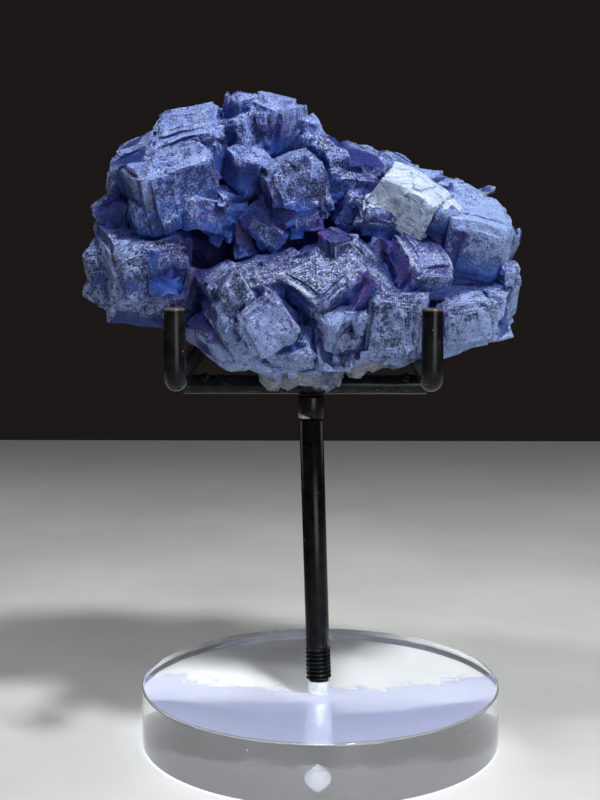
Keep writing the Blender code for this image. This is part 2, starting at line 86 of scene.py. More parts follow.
def make_camera():
    """Look level, then down by the pitch and round by the yaw."""
    data = bpy.data.cameras.new("view")
    data.sensor_fit = "VERTICAL"
    data.sensor_height = 36
    data.lens = CAMERA_LENS
    data.clip_start = 0.005
    ahead = Vector((math.sin(CAMERA_YAW) * math.cos(CAMERA_PITCH),
                    math.cos(CAMERA_YAW) * math.cos(CAMERA_PITCH), -math.sin(CAMERA_PITCH)))
    side = Vector((math.cos(CAMERA_YAW), -math.sin(CAMERA_YAW), 0))
    turn = Matrix((side, side.cross(ahead), -ahead)).transposed().to_4x4()
    made = bpy.data.objects.new("view", data)
    made.matrix_world = Matrix.Translation(CAMERA_PLACE) @ turn
    bpy.context.scene.collection.objects.link(made)
    bpy.context.scene.camera = made
    print("camera", CAMERA_PLACE, "lens", CAMERA_LENS, "mm")


make_camera()

# %% [markdown]
# ## The light
# The stone was lit from nearly straight above, so its upper edges glint, its fronts are
# dim and its recesses glow deep blue. It throws one soft shadow to each side of the disc,
# so there were two small lamps, a little in front of it. A wide, weak lamp in front opens
# the shadows, and two behind keep the back and the sides readable.

# %% Soft studio light
LAMPS = (
    ("overhead left", (-0.11, -0.15, 0.50), (0.0, 0.0, 0.10), 0.05, 0.80),
    ("overhead right", (0.13, -0.20, 0.48), (0.0, 0.0, 0.10), 0.05, 2.6),
    ("front fill", (0.30, -0.72, 0.07), (0.0, 0.0, 0.09), 0.45, 3.8),
    ("right rear", (0.55, 0.30, 0.30), (0.0, 0.0, 0.10), 0.30, 0.5),
    ("left rear", (-0.55, 0.30, 0.30), (0.0, 0.0, 0.10), 0.30, 0.45),
)


def add_lamp(name, place, target, size, watts):
    """A square lamp of soft white light that faces its target."""
    data = bpy.data.lights.new(name, "AREA")
    data.size = size
    data.energy = watts
    data.color = (0.96, 0.98, 1.0)
    made = bpy.data.objects.new(name, data)
    made.location = place
    made.visible_transmission = place[1] < 0
    made.rotation_euler = (Vector(target) - Vector(place)).to_track_quat("-Z", "Y").to_euler()
    bpy.context.scene.collection.objects.link(made)


for lamp in LAMPS:
    add_lamp(*lamp)
room = bpy.data.worlds.new("room")
room.use_nodes = True
room.node_tree.nodes["Background"].inputs["Color"].default_value = (0.012, 0.0095, 0.009, 1)
bpy.context.scene.world = room
bpy.context.scene.view_settings.view_transform = "Standard"
print(len(LAMPS), "lamps")

# %% [markdown]
# ## Writing materials as sums
# A procedural material is a sum of patterns, and it reads best when it is written as one.
# The class below wraps one socket of a node tree. Plus, minus, times and divide on it add
# Math nodes, a Mix node blends colours, and one method makes any other node.

# %% A socket that can be reckoned with
class Wire:
    """One output socket, or with no socket the tree that new nodes are added to."""

    def __init__(self, tree, socket=None):
        self.tree = tree
        self.socket = socket

    def node(self, kind, settings=(), inputs=(), out=0):
        """Add a node: its settings first, then the values or links of its sockets."""
        made = self.tree.nodes.new(kind)
        for name, value in dict(settings).items():
            if name == "stops":
                set_stops(made.color_ramp, value)
            else:
                setattr(made, name, value)
        for name, value in dict(inputs).items():
            self.feed(made.inputs[name], value)
        return Wire(self.tree, made.outputs[out])

    def feed(self, socket, value):
        """Link a wire to a socket, or set the socket to a plain value."""
        if isinstance(value, Wire):
            self.tree.links.new(value.socket, socket)
        elif isinstance(value, tuple) and len(value) == 3 and socket.type == "RGBA":
            socket.default_value = (*value, 1.0)
        else:
            socket.default_value = value

    def math(self, operation, *values, clamp=False):
        return self.node("ShaderNodeMath", {"operation": operation, "use_clamp": clamp},
                         enumerate(values))

    def __add__(self, other):
        return self.math("ADD", self, other)

    def __sub__(self, other):
        return self.math("SUBTRACT", self, other)

    def __rsub__(self, other):
        return self.math("SUBTRACT", other, self)

    def __mul__(self, other):
        return self.math("MULTIPLY", self, other)

    def __truediv__(self, other):
        return self.math("DIVIDE", self, other)

    __radd__ = __add__
    __rmul__ = __mul__

    def lower(self, other):
        return self.math("MINIMUM", self, other)

    def upper(self, other):
        return self.math("MAXIMUM", self, other)

    def step(self, start, stop):
        """Nothing below start, all above stop, and a smooth rise between them."""
        return self.node("ShaderNodeMapRange", {"interpolation_type": "SMOOTHSTEP"},
                         {"Value": self, "From Min": start, "From Max": stop})

    def blend(self, first, second, amount):
        """Mix two colours by an amount from nothing to one."""
        return self.node("ShaderNodeMix", {"data_type": "RGBA", "clamp_factor": True},
                         {0: amount, 6: first, 7: second}, out=2)

    def parts(self):
        """The three components of a vector."""
        apart = self.node("ShaderNodeSeparateXYZ", (), {0: self})
        return [Wire(self.tree, apart.socket.node.outputs[place]) for place in range(3)]

    def vector(self, operation, *values, out=0):
        return self.node("ShaderNodeVectorMath", {"operation": operation}, enumerate(values), out)


def set_stops(ramp, stops):
    """Give a colour ramp its stops: each a place and a colour."""
    while len(ramp.elements) < len(stops):
        ramp.elements.new(0.5)
    for element, (place, colour) in zip(ramp.elements, stops):
        element.position = place
        element.color = (*colour, 1.0)


def new_material(name):
    """A material with its Principled shader, and a wire to add nodes with."""
    material = bpy.data.materials.new(name)
    material.use_nodes = True
    tree = material.node_tree
    return material, Wire(tree), tree.nodes["Principled BSDF"]


def dress(wire, shader, **sockets):
    """Set or link the shader's sockets; an underscore in a name stands for a space."""
    for name, value in sockets.items():
        wire.feed(shader.inputs[name.replace("_", " ")], value)


def grain_noise(wire, place, scale, detail=3.0, roughness=0.55):
    """Soft cloudy noise from 0 to 1."""
    return wire.node("ShaderNodeTexNoise", {"noise_dimensions": "3D"},
                     {"Vector": place, "Scale": scale, "Detail": detail, "Roughness": roughness})


print("material tools ready")

# %% [markdown]
# ## The table
# The stand was photographed on a pale table whose far edge crosses the picture just
# below the stone. A plain sheet is enough, but a bare grey would look like paper, so
# faint clouds and a fine tooth give it the look of worn stone. Towards the far edge the
# colour is painted darker, which is painted shade.

# %% Pale table
TABLE_REACH = 1.5
TABLE_FRONT = -1.0
TABLE_FAR_EDGE = 0.387


def table_material():
    material, wire, shader = new_material("pale table")
    place = wire.node("ShaderNodeTexCoord", out=3)
    clouds = grain_noise(wire, place, 9.0, 4.0)
    away = place.parts()[1]
    tooth = grain_noise(wire, place, 900.0, 2.0)
    colour = wire.blend((0.55, 0.55, 0.525), (0.68, 0.68, 0.65), clouds.step(0.3, 0.7))
    # The colour darkens towards the far edge: painted shade, where less light falls.
    dress(wire, shader, Base_Color=wire.blend(colour, (0.26, 0.26, 0.25), away.step(0.08, 0.40)), Roughness=clouds * 0.15 + 0.42,
          Normal=wire.node("ShaderNodeBump", (), {"Strength": 0.15, "Distance": 0.0002, "Height": tooth}))
    return material


def add_table():
    bpy.ops.object.select_all(action="DESELECT")
    bpy.ops.mesh.primitive_plane_add(size=2.0)
    table = bpy.context.object
    table.name = "table_top"
    for corner in table.data.vertices:
        corner.co.x *= TABLE_REACH
        corner.co.y = TABLE_FAR_EDGE if corner.co.y > 0 else TABLE_FRONT
        corner.co.z = -0.0002
    table.data.materials.append(table_material())
    print("table", table.dimensions[:])


add_table()

# %% [markdown]
# ## The crystals
# Fluorite grows as cubes. This cluster has about a hundred, each with its own place, size
# and lean, and the solid was made from the same list. Repeating the list here tells us
# for every spot of the stone which cube it belongs to, and which way that cube's edges
# run. Growth steps, frosting and the pale edges, which are partly wear and partly a
# painted highlight, must all follow those directions, or the stone would look like clay.

# %% The list of cubes
# Centre x, y, z and edges x, y, z in millimetres, then spin about Z, tilt about X and
# roll about Y in degrees, and a letter for the finish: f frosted, g glassy, w white,
# d dark, v violet, b blue.
CUBES = (
    (-30.5, -6.5, 117.3, 15, 16, 14, 24, 22, -12, "b"),
    (-36, -3, 120.5, 9.5, 12, 10, -16, 20, -28, "f"),
    (-34.2, -8.5, 111.4, 8, 10, 7, 8, 6, -6, "b"),
    (-25.2, -8, 111.8, 8, 10, 7, 30, 10, 8, "b"),
    (-26.5, 0, 126.6, 13, 13, 8.5, -8, 28, -14, "t"),
    (-25.5, -3.5, 122.6, 9, 9, 6.5, 20, 16, -10, "b"),
    (-24, 9, 126, 12, 12, 11, 30, 0, -6, "f"),
    (-16.2, -2, 133.1, 5.4, 5.4, 5.4, 40, 28, 8, "g"),
    (-10, -1, 129, 7.2, 9, 11, -28, 12, 12, "f"),
    (-13.6, 4.5, 129.4, 9.5, 10, 7.5, 18, 8, -8, "f"),
    (-5.6, 3.5, 126.8, 6.5, 9, 10, 12, 10, 24, "b"),
    (-17.2, -1.5, 126.6, 7, 9, 9, 48, 16, -18, "b"),
    (-42.4, -0.8, 111.2, 7, 9, 7, 18, 20, -28, "f"),
    (-40.4, -3, 110.9, 6, 8, 8, -22, 16, 16, "f"),
    (-40.2, -0.4, 117, 5, 7, 5, 30, 20, 10, "f"),
    (-36.2, -4.5, 102.4, 15.5, 16, 13, 18, 22, -3, "t"),
    (-42.4, -2, 102, 9, 12, 10, -12, 20, -8, "f"),
    (-37, -3, 95, 12, 13, 11, 10, 12, 8, "f"),
    (-42, -1.5, 97.2, 8, 11, 8, -20, 10, 24, "f"),
    (-33.2, -8.8, 100.6, 7, 9, 10, 30, 10, -8, "b"),
    (-34.8, -3.2, 106.4, 13, 13, 5, 6, 25, 2, "t"),
    (-27, -3, 97.6, 9, 12, 9, 40, 12, 20, "d"),
    (-27.6, 0, 92, 8, 12, 7, 15, 0, -12, "f"),
    (-14.6, -7.2, 120.4, 7.5, 8, 7.5, 38, 22, 15, "f"),
    (-5.6, -9.4, 116.6, 10.5, 12, 11, 12, 12, -14, "t"),
    (-3.2, -9.8, 110.7, 5.5, 8, 4, 12, 10, -5, "f"),
    (-10, -8, 112.9, 6, 8, 6, 40, 18, 28, "d"),
    (-19.5, -6.5, 112, 5.5, 8, 9, 35, 15, 8, "b"),
    (-10.7, -9.8, 109.7, 9.6, 8, 5, 0, 20, 38, "t"),
    (-15.5, -7.5, 106.9, 3.4, 6, 6, 15, 6, -5, "d"),
    (-1.8, 3, 123.8, 7, 9, 7.5, -16, 10, 12, "g"),
    (1.6, 0, 121.6, 6.5, 9, 6.5, 30, 20, -5, "g"),
    (2.8, -3.6, 117.5, 5.5, 8, 7, 14, 20, 20, "g"),
    (5.6, 3, 121.3, 11, 12, 8, 10, 14, 16, "f"),
    (10.6, 2, 119.6, 7.5, 11, 7, -15, 14, 30, "f"),
    (8.4, -4, 116.8, 5, 6, 5, 22, 20, 10, "f"),
    (5.8, -4.6, 112.3, 7, 9, 8, 20, 6, 30, "f"),
    (-14.5, -13, 93, 13.5, 16, 12.5, 6, 14, -33, "t"),
    (-11.2, -19.6, 90.8, 8.2, 12, 8, 6, 14, -33, "t"),
    (-16.8, -18, 96.5, 6, 10, 6, 6, 14, -33, "t"),
    (-17.6, -15.4, 90.4, 6, 10, 11, 6, 14, -33, "f"),
    (-19.8, -13.4, 98.7, 7.5, 9, 4, 6, 18, -28, "f"),
    (-11.8, -15.4, 98.7, 8.5, 10, 6, 20, 24, -12, "t"),
    (-19.4, -8, 87.6, 12, 15, 11, 18, -10, 38, "v"),
    (-13.5, -6, 84.2, 11, 13, 8, 10, -14, 20, "v"),
    (-5.5, -12.4, 84.6, 9.5, 13, 7, -15, -24, 10, "g"),
    (-0.5, -15.4, 98.8, 12, 12, 6.5, 45, 42, 0, "t"),
    (5.5, -14.8, 99.4, 7, 8, 6, 45, 42, 12, "t"),
    (-6.6, -13.8, 100.4, 6, 7, 6, 35, 35, -8, "f"),
    (2.8, -13.8, 105.7, 5.2, 5.6, 5.2, 40, 22, 5, "v"),
    (8.1, -14.2, 103.4, 7.5, 5, 2.6, 0, 20, 42, "f"),
    (11.6, -7, 104.2, 7, 9, 7, 20, 10, 20, "d"),
    (9.6, -15.8, 97, 5.5, 9, 8, 30, 20, 42, "v"),
    (1.9, -15.4, 91, 9, 11, 9, 45, 32, 8, "f"),
    (8.3, -15.4, 91.2, 7.5, 10, 7.5, 30, 28, -10, "f"),
    (6.8, -14.8, 88, 8, 9, 3, 8, 12, -5, "d"),
    (9.2, -11, 85.2, 11.5, 13, 5.5, -5, -5, -3, "f"),
    (1.6, -11.8, 84.4, 8, 12, 7, 20, 0, -5, "f"),
    (15.5, -15.4, 90.6, 8.5, 14, 13.5, -12, 8, 3, "f"),
    (17.6, -4, 85.6, 10, 16, 6, 8, 0, -12, "f"),
    (17, -10.8, 114, 12.5, 8, 10, -8, 30, 30, "w"),
    (12, -8.8, 110.6, 8.5, 9, 6, 14, 20, 18, "f"),
    (15.8, 0.2, 119.7, 7, 10, 5.5, 40, 10, 25, "f"),
    (24, -11, 111, 6.4, 6.4, 6.4, 40, 25, 15, "v"),
    (21.6, 1.2, 116.2, 10, 12, 7, 20, 14, 12, "f"),
    (28.2, 3, 113.6, 10.5, 13, 8, -10, 14, 22, "f"),
    (33.4, 4, 109.6, 9, 12, 8, 15, 10, 38, "f"),
    (29.4, -4, 106.6, 13.5, 15, 13.5, 12, 20, 14, "f"),
    (35.4, 2, 105.8, 8.5, 13, 10, -18, 10, 32, "b"),
    (37.6, -5.4, 99.8, 4.4, 4.4, 4.4, 30, 20, 0, "v"),
    (27.6, -4, 100.8, 9, 10, 6, 20, 10, 5, "f"),
    (19, -14, 101, 8.5, 11, 8, 30, 25, 22, "v"),
    (27.2, -9, 92.3, 10.5, 13, 8, 12, 20, -3, "f"),
    (27.2, -4, 87, 12, 14, 7, -5, 0, -8, "f"),
    (34.4, -2, 94.2, 8.5, 13, 8.5, -20, 12, 5, "b"),
    (31.2, 1, 88.2, 13, 16, 7.5, 6, 0, -14, "f"),
    (33.8, 1, 90.6, 8.5, 14, 8.5, -8, 0, -26, "f"),
    (-30, 13, 122, 9, 9, 9, 20, -20, 10, "f"),
    (-16, 13, 126, 8, 8, 9, -25, -18, -6, "f"),
    (-5, 13.5, 121.5, 10, 9, 9, 15, -22, 14, "f"),
    (4, 14, 118, 7, 8, 7, 38, -15, 5, "f"),
    (14, 13, 115, 9, 9, 9, -18, -20, 20, "f"),
    (25, 13, 110, 9, 9, 8, 24, -20, 18, "f"),
    (34.5, 10.5, 102, 8, 9, 9, -12, -12, 30, "b"),
    (34, 9, 93, 9, 9, 8, 20, -5, -20, "f"),
    (-41, 9, 110, 8, 9, 9, 28, -14, -24, "f"),
    (-44, 8, 101, 8, 9, 9, -15, -8, -6, "f"),
    (-41.5, 8, 94.5, 8, 9, 8, 18, 0, 20, "f"),
    (-31, 19, 111, 8, 7, 8, 30, -10, 18, "f"),
    (-12, 21, 115, 9, 8, 8, -20, -14, -10, "f"),
    (8, 21.5, 110, 9, 8, 9, 25, -12, 24, "f"),
    (22, 18.5, 104, 8, 7, 7, -30, -8, 8, "f"),
    (-8, 21, 97, 8, 6, 7, 15, 0, -30, "f"),
    (14, 19, 95, 7, 6, 7, -22, 0, 12, "f"),
)
FINISHES = {"g": "glassy", "w": "whitish", "d": "dusky", "v": "violet", "b": "bluish", "t": "tiled"}


class Cubes:
    """The list as arrays: centres and half edges in mm, and a turn for each cube."""
    centre = np.array([row[0:3] for row in CUBES], float)
    half = np.array([row[3:6] for row in CUBES], float) / 2
    turn = np.array([Euler((math.radians(row[7]), math.radians(row[8]), math.radians(row[6])),
                           "ZXY").to_matrix() for row in CUBES], float)
    finish = [row[9] for row in CUBES]


print(len(CUBES), "cubes, from", Cubes.half.min() * 2, "to", Cubes.half.max() * 2, "mm")

# %% [markdown]
# ## A working copy of the stone
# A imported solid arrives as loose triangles, and it must not be changed. So the stone is
# built on a copy, whose matching corners are merged into one closed skin. Only a closed
# skin can be joined to other shapes.

# %% Copy the stone and close its skin
def deselect_all():
    bpy.ops.object.select_all(action="DESELECT")


def choose(piece):
    """Make one object the only selected and active one."""
    deselect_all()
    piece.select_set(True)
    bpy.context.view_layer.objects.active = piece


def start_copy(node, name):
    """A copy of a CAD node with its own mesh, its loose triangles merged."""
    made = bpy.data.objects.new(name, frame["nodes"][node].data.copy())
    bpy.context.scene.collection.objects.link(made)
    made.data.materials.clear()
    choose(made)
    bpy.ops.object.mode_set(mode="EDIT")
    bpy.ops.mesh.select_all(action="SELECT")
    bpy.ops.mesh.remove_doubles(threshold=1e-6)
    bpy.ops.object.mode_set(mode="OBJECT")
    return made


def open_edges(mesh):
    """How many edges don't have exactly two faces."""
    bm = bmesh.new()
    bm.from_mesh(mesh)
    count = sum(not edge.is_manifold for edge in bm.edges)
    bm.free()
    return count


stone = start_copy("fluorite", "fluorite_cluster")
print("stone:", len(stone.data.polygons), "faces,", open_edges(stone.data), "open edges")

# %% [markdown]
# ## Growth steps
# Look at a fluorite face with a lens and it isn't flat: it is a stack of thin square
# terraces, each a fraction of a millimetre high, all lined up with the cube. One terrace
# is modelled here, a cube whose top is drawn in a little. Thousands of copies of it,
# each in its own size, are then laid on the faces and joined to the stone.

# %% One terrace
def face_picker(piece, wanted):
    """In edit mode, select only the faces whose normal and centre pass a test."""
    bm = bmesh.from_edit_mesh(piece.data)
    bpy.ops.mesh.select_mode(type="FACE")
    bpy.ops.mesh.select_all(action="DESELECT")
    for face in bm.faces:
        face.select_set(wanted(face.normal, face.calc_center_median()))
    bmesh.update_edit_mesh(piece.data)


def start_piece(name, add, **settings):
    """Add a primitive with nothing else selected, and name it."""
    deselect_all()
    add(**settings)
    made = bpy.context.object
    made.name = name
    return made


TERRACE_DRAFT = 0.93
terrace = start_piece("terrace", bpy.ops.mesh.primitive_cube_add, size=1.0)
bpy.ops.object.mode_set(mode="EDIT")
face_picker(terrace, lambda normal, centre: normal.z > 0.5)
bpy.ops.transform.resize(value=(TERRACE_DRAFT, TERRACE_DRAFT, 1.0))
bpy.ops.object.mode_set(mode="OBJECT")
print("terrace:", len(terrace.data.polygons), "faces")

# %% [markdown]
# ## Where the terraces lie
# For every face of every cube, places are drawn at random, nearer the corners than the
# middle. A place counts only where the stone's own surface is: most of each cube is
# hidden inside the others. The terrace then rises a little above the surface found
# there, so that it also sits well on the steps the solid already has.

# %% Lay out the terraces
SURFACE_REACH = 0.8
TERRACE_SINK = 0.9
BROAD, STRIP, TILE = "broad", "strip", "tile"
layout_chance = random.Random(5)


def stone_tree(piece):
    """A search tree of a mesh, with its corners in millimetres."""
    corners = [vert.co / MM for vert in piece.data.vertices]
    faces = [tuple(face.vertices) for face in piece.data.polygons]
    return BVHTree.FromPolygons(corners, faces)


def corner_lover(chance, reach):
    """A random place along an edge, more often near its ends than in its middle."""
    return chance.choice((-1, 1)) * reach * chance.random() ** 0.5


MOST_OFF_LINE = {BROAD: 4, STRIP: 5, TILE: 16}


def terrace_kinds(finish, area, chance):
    """Which terraces a face gets: tiled cubes have many, and glassy ones few."""
    if finish == "t":
        return [BROAD] * 2 + [STRIP] * 3 + [TILE] * round(area * 0.20)
    if finish == "w":
        return [BROAD] * 3 + [STRIP] * 6 + [TILE] * 3
    if finish in "gv":
        return [BROAD] * chance.choice((0, 1)) + [STRIP]
    return [BROAD] * chance.choice((1, 1, 2)) + [STRIP] * chance.choice((0, 1, 3)) + [TILE] * round(area * 0.035)


def terrace_edges(kind, half, wide, deep, chance):
    """The half edges of one terrace along its face, and how far it rises."""
    if kind == BROAD:
        return half[wide] * chance.uniform(0.4, 0.85), half[deep] * chance.uniform(0.4, 0.85), (0.10, 0.28)
    if kind == STRIP:
        long_edge, short_edge = half[wide] * chance.uniform(0.5, 0.95), chance.uniform(0.25, 0.9)
        edges = (long_edge, short_edge) if chance.random() < 0.5 else (short_edge, half[deep] * 0.8)
        return (*edges, (0.12, 0.35))
    return chance.uniform(0.4, 1.1), chance.uniform(0.4, 1.1), (0.10, 0.38)


def lay_on_face(tree, frame_of_cube, number, axis, side, kind, chance):
    """One terrace as (centre, half edges, turn, cube, axis, side) in mm, or None off the skin."""
    centre, half, turn = frame_of_cube
    wide, deep = [other for other in range(3) if other != axis]
    box, place = np.zeros(3), np.zeros(3)
    box[wide], box[deep], rises = terrace_edges(kind, half, wide, deep, chance)
    for along in (wide, deep):
        box[along] = min(box[along], half[along] * 0.95)
        place[along] = corner_lover(chance, half[along] * 0.97 - box[along])
    place[axis] = side * half[axis]
    point = Vector(turn @ place + centre)
    outward = Vector(turn[:, axis] * side)
    hit, normal, index, distance = tree.find_nearest(point, SURFACE_REACH)
    if hit is None or normal.dot(outward) < 0.95:
        return None
    rise = (hit - point).dot(outward) + chance.uniform(*rises)
    box[axis] = (TERRACE_SINK + rise) / 2
    place[axis] = side * (half[axis] + rise - box[axis])
    off_line = chance.uniform(-1, 1) * math.radians(MOST_OFF_LINE[kind])
    own_turn = turn @ np.array(Matrix.Rotation(off_line, 3, "XYZ"[axis]))
    return turn @ place + centre, box, own_turn, number, axis, side


def lay_terraces(tree, chance):
    """Go over every face of every cube."""
    found = []
    for number, frame_of_cube in enumerate(zip(Cubes.centre, Cubes.half, Cubes.turn)):
        half = frame_of_cube[1]
        for axis in range(3):
            area = 4 * half.prod() / half[axis]
            for side in (-1, 1):
                for kind in terrace_kinds(Cubes.finish[number], area, chance):
                    found.append(lay_on_face(tree, frame_of_cube, number, axis, side, kind, chance))
    return [terrace for terrace in found if terrace is not None]


stone_surface = stone_tree(stone)
terraces = lay_terraces(stone_surface, layout_chance)
print(len(terraces), "terraces")

# %% [markdown]
# ## Small crystals and broken rock
# Between the large cubes sit crumbs of crystal, one or two millimetres wide, and along
# the bottom and the back the cluster was broken from its wall, which leaves rough rock.
# Both are scattered over the surface: where a spot belongs to a cube, a small crystal
# grows nearly in line with it, and elsewhere a chip of rock sticks out.

# %% Whose surface is it
HOST_REACH = 0.75


def hosts_of(points, normals):
    """For each point, the number of the cube whose face passes through it, or -1 for rock."""
    best = np.full(len(points), -1)
    best_facing = np.full(len(points), 0.6)
    for number, (centre, half, turn) in enumerate(zip(Cubes.centre, Cubes.half, Cubes.turn)):
        local = (points - centre) @ turn
        away = np.abs(local) - half
        facing = (normals @ turn) * np.sign(local)
        at_face = np.where(np.abs(away) < HOST_REACH, facing, 0).max(axis=1)
        fits = np.all(away < HOST_REACH, axis=1) & (at_face > best_facing)
        best[fits] = number
        best_facing[fits] = at_face[fits]
    return best


def random_spots(piece, count, chance):
    """Points spread evenly over a mesh's area, each with the normal there."""
    mesh = piece.data
    mesh.calc_loop_triangles()
    corners = np.array([vert.co for vert in mesh.vertices]) / MM
    triangles = np.array([triangle.vertices for triangle in mesh.loop_triangles])
    first, second, third = (corners[triangles[:, place]] for place in range(3))
    cross = np.cross(second - first, third - first)
    area = np.linalg.norm(cross, axis=1) / 2
    chosen = chance.choice(len(area), count, p=area / area.sum())
    along, across = chance.random(count), chance.random(count)
    flip = along + across > 1
    along[flip], across[flip] = 1 - along[flip], 1 - across[flip]
    spots = (first[chosen] + along[:, None] * (second - first)[chosen]
             + across[:, None] * (third - first)[chosen])
    return area.sum(), spots, (cross / (2 * area[:, None] + 1e-12))[chosen]


CRUMBS = 2200
whole_area, spots, spot_normals = random_spots(stone, CRUMBS, np.random.default_rng(3))
hosts = hosts_of(spots, spot_normals)
print("area", round(whole_area), "sq mm;", (hosts < 0).sum(), "of", CRUMBS, "spots on rock")

# %% Lay out the crumbs and the chips
crumb_chance = random.Random(8)
SHEET_TURN = 9
ROCK_BACK = 6.0
ROCK_TOP = 82.5


def near_turn(turn, degrees, chance):
    """A turn that is a few degrees off another."""
    lean = Euler([math.radians(chance.uniform(-degrees, degrees)) for axis in range(3)]).to_matrix()
    return turn @ np.array(lean)


def is_sheltered(point, normal, reach=5.0):
    """Whether other crystal rises close beside a spot, as it does in a corner."""
    hits = 0
    side = Vector(normal).orthogonal().normalized()
    other = Vector(normal).cross(side)
    for way in (side, -side, other, -other):
        ray = (way + Vector(normal) * 0.25).normalized()
        hits += stone_surface.ray_cast(Vector(point) + Vector(normal) * 0.3, ray, reach)[0] is not None
    return hits


def is_rock(point):
    """Bare rock shows low down and on the back; elsewhere it is overgrown."""
    return point[1] > ROCK_BACK or point[2] < ROCK_TOP + 0.05 * point[0]


crumbs, chips = [], []
for spot, normal, host in zip(spots, spot_normals, hosts):
    sheltered = is_sheltered(spot, normal)
    if host < 0 and sheltered < 3 and is_rock(spot):
        size = np.array([crumb_chance.uniform(0.7, 2.6) for axis in range(3)])
        turn = np.array(Euler([crumb_chance.uniform(0, 6.3) for axis in range(3)]).to_matrix())
        chips.append((spot - normal * size.min() * 0.75, size, turn, -1, 0, 0))
    elif host >= 0 and sheltered >= 2 and crumb_chance.random() < 0.6:
        size = crumb_chance.uniform(0.45, 1.3)
        edges = np.array([size * crumb_chance.uniform(0.8, 1.25) for axis in range(3)])
        turn = near_turn(Cubes.turn[host], crumb_chance.choice((SHEET_TURN, 45)), crumb_chance)
        crumbs.append((spot - normal * size * 0.35, edges, turn, host, 0, 0))
print(len(crumbs), "small crystals,", len(chips), "chips of rock")

# %% [markdown]
# ## Facets and nicks
# No cube of the real cluster is whole. Its faces lean off towards the corners in broad
# shallow facets, corners are broken away, and small bites are missing along the edges.
# All of these are cuts. A facet's cut is a box whose underside leans a little towards one
# corner of the face, and it is only made where nothing else stands in its way.

# %% Lay out the facets
FACET_LEANS = (5, 8, 12, 18, 26, 34)
SMALLEST_FACET = 5.0
FACET_TRIES = 5
CLEAR_HEIGHTS = (0.3, 1.0, 2.0)
facet_chance = random.Random(33)


def is_outside(tree, point):
    """Whether a point is in the open air."""
    hit, normal, index, distance = tree.find_nearest(Vector(point))
    return (Vector(point) - hit).dot(normal) > 0


def facet_box(centre, half, turn, axis, side, chance):
    """A leaning box over one corner of a face: its centre, half edges, turn and footprint."""
    wide, deep = [other for other in range(3) if other != axis]
    to_corner = np.zeros(3)
    to_corner[wide] = chance.choice((-1, 1)) * half[wide] * chance.choice((0.25, 1.0))
    to_corner[deep] = chance.choice((-1, 1)) * half[deep] * chance.choice((0.25, 1.0))
    far = np.linalg.norm(to_corner)
    along = to_corner / far
    outward = np.zeros(3)
    outward[axis] = side
    start = chance.uniform(0.15, 0.75)
    lean = math.radians(chance.choice(FACET_LEANS) * (0.4 + 0.6 * start))
    length = far * (1 - start) / 2 + 0.9
    width = max(half[wide], half[deep]) * 1.25
    down_slope = along * math.cos(lean) - outward * math.sin(lean)
    up = outward * math.cos(lean) + along * math.sin(lean)
    height = length * math.sin(lean) + 0.5
    edge_point = outward * (half[axis] - 0.05) + along * far * start
    middle = edge_point + down_slope * length + up * height
    axes = np.stack([down_slope, np.cross(up, down_slope), up], axis=1)
    across = np.cross(outward, along)
    footprint = [outward * (half[axis] + lift) + along * (far * start + 2 * length * go) + across * width * shift
                 for lift in CLEAR_HEIGHTS for go in (0.1, 0.5, 0.9) for shift in (-0.9, 0, 0.9)]
    return (turn @ middle + centre, np.array([length, width, height]), turn @ axes,
            [turn @ place + centre for place in footprint])


def lay_facets(tree, chance):
    """Try a few leaning cuts on each face, and keep those that touch nothing else."""
    found = []
    for number, (centre, half, turn) in enumerate(zip(Cubes.centre, Cubes.half, Cubes.turn)):
        if 2 * half.min() < SMALLEST_FACET:
            continue
        for axis in range(3):
            for side in (-1, 1):
                for attempt in range(FACET_TRIES):
                    middle, edges, axes, footprint = facet_box(centre, half, turn, axis, side, chance)
                    if all(is_outside(tree, place) for place in footprint):
                        found.append((middle, edges, axes, number, axis, side))
    return found


facets = lay_facets(stone_surface, facet_chance)
print(len(facets), "facets")

# %% Lay out the nicks
NICK_SPACING = 5.0
EDGE_SLACK = 0.25
nick_chance = random.Random(21)


def any_turn(chance):
    return np.array(Euler([chance.uniform(0, 6.3) for axis in range(3)]).to_matrix())


def lay_nicks(tree, chance):
    """Boxes with any turn, strung along the edges of the cubes where those show."""
    found = []
    for number, (centre, half, turn) in enumerate(zip(Cubes.centre, Cubes.half, Cubes.turn)):
        for axis in range(3):
            wide, deep = [other for other in range(3) if other != axis]
            for first, second in ((-1, -1), (1, -1), (1, 1), (-1, 1)):
                for attempt in range(math.ceil(2 * half[axis] / NICK_SPACING)):
                    size = chance.uniform(0.35, 1.1)
                    place = np.zeros(3)
                    place[axis] = corner_lover(chance, half[axis])
                    place[wide] = first * (half[wide] + size * 0.42)
                    place[deep] = second * (half[deep] + size * 0.42)
                    point = Vector(turn @ place + centre)
                    hit, normal, index, distance = tree.find_nearest(point, size)
                    if hit is None or (point - hit).dot(normal) < 0:
                        continue
                    own_place = np.abs(turn.T @ (np.array(hit) - centre))
                    if abs(own_place - half)[[wide, deep]].max() > EDGE_SLACK:
                        continue
                    half_edges = np.array([size, size * chance.uniform(0.6, 1.4), size])
                    found.append((np.array(point), half_edges, any_turn(chance), number, 0, 0))
    return found


nicks = lay_nicks(stone_surface, nick_chance)
print(len(nicks), "nicks")

# %% [markdown]
# ## Joining it all
# The copies go into a collection, and one Boolean modifier joins the whole collection to
# the stone. The manifold solver is made for this: it takes a few seconds for thousands
# of closed shapes, and leaves one closed skin with nothing hidden inside.

# %% Copy the shapes into place and join them
chip_shape = start_piece("chip", bpy.ops.mesh.primitive_ico_sphere_add, subdivisions=1, radius=0.62)
chip_chance = random.Random(2)
for corner in chip_shape.data.vertices:
    corner.co *= chip_chance.uniform(0.8, 1.15)


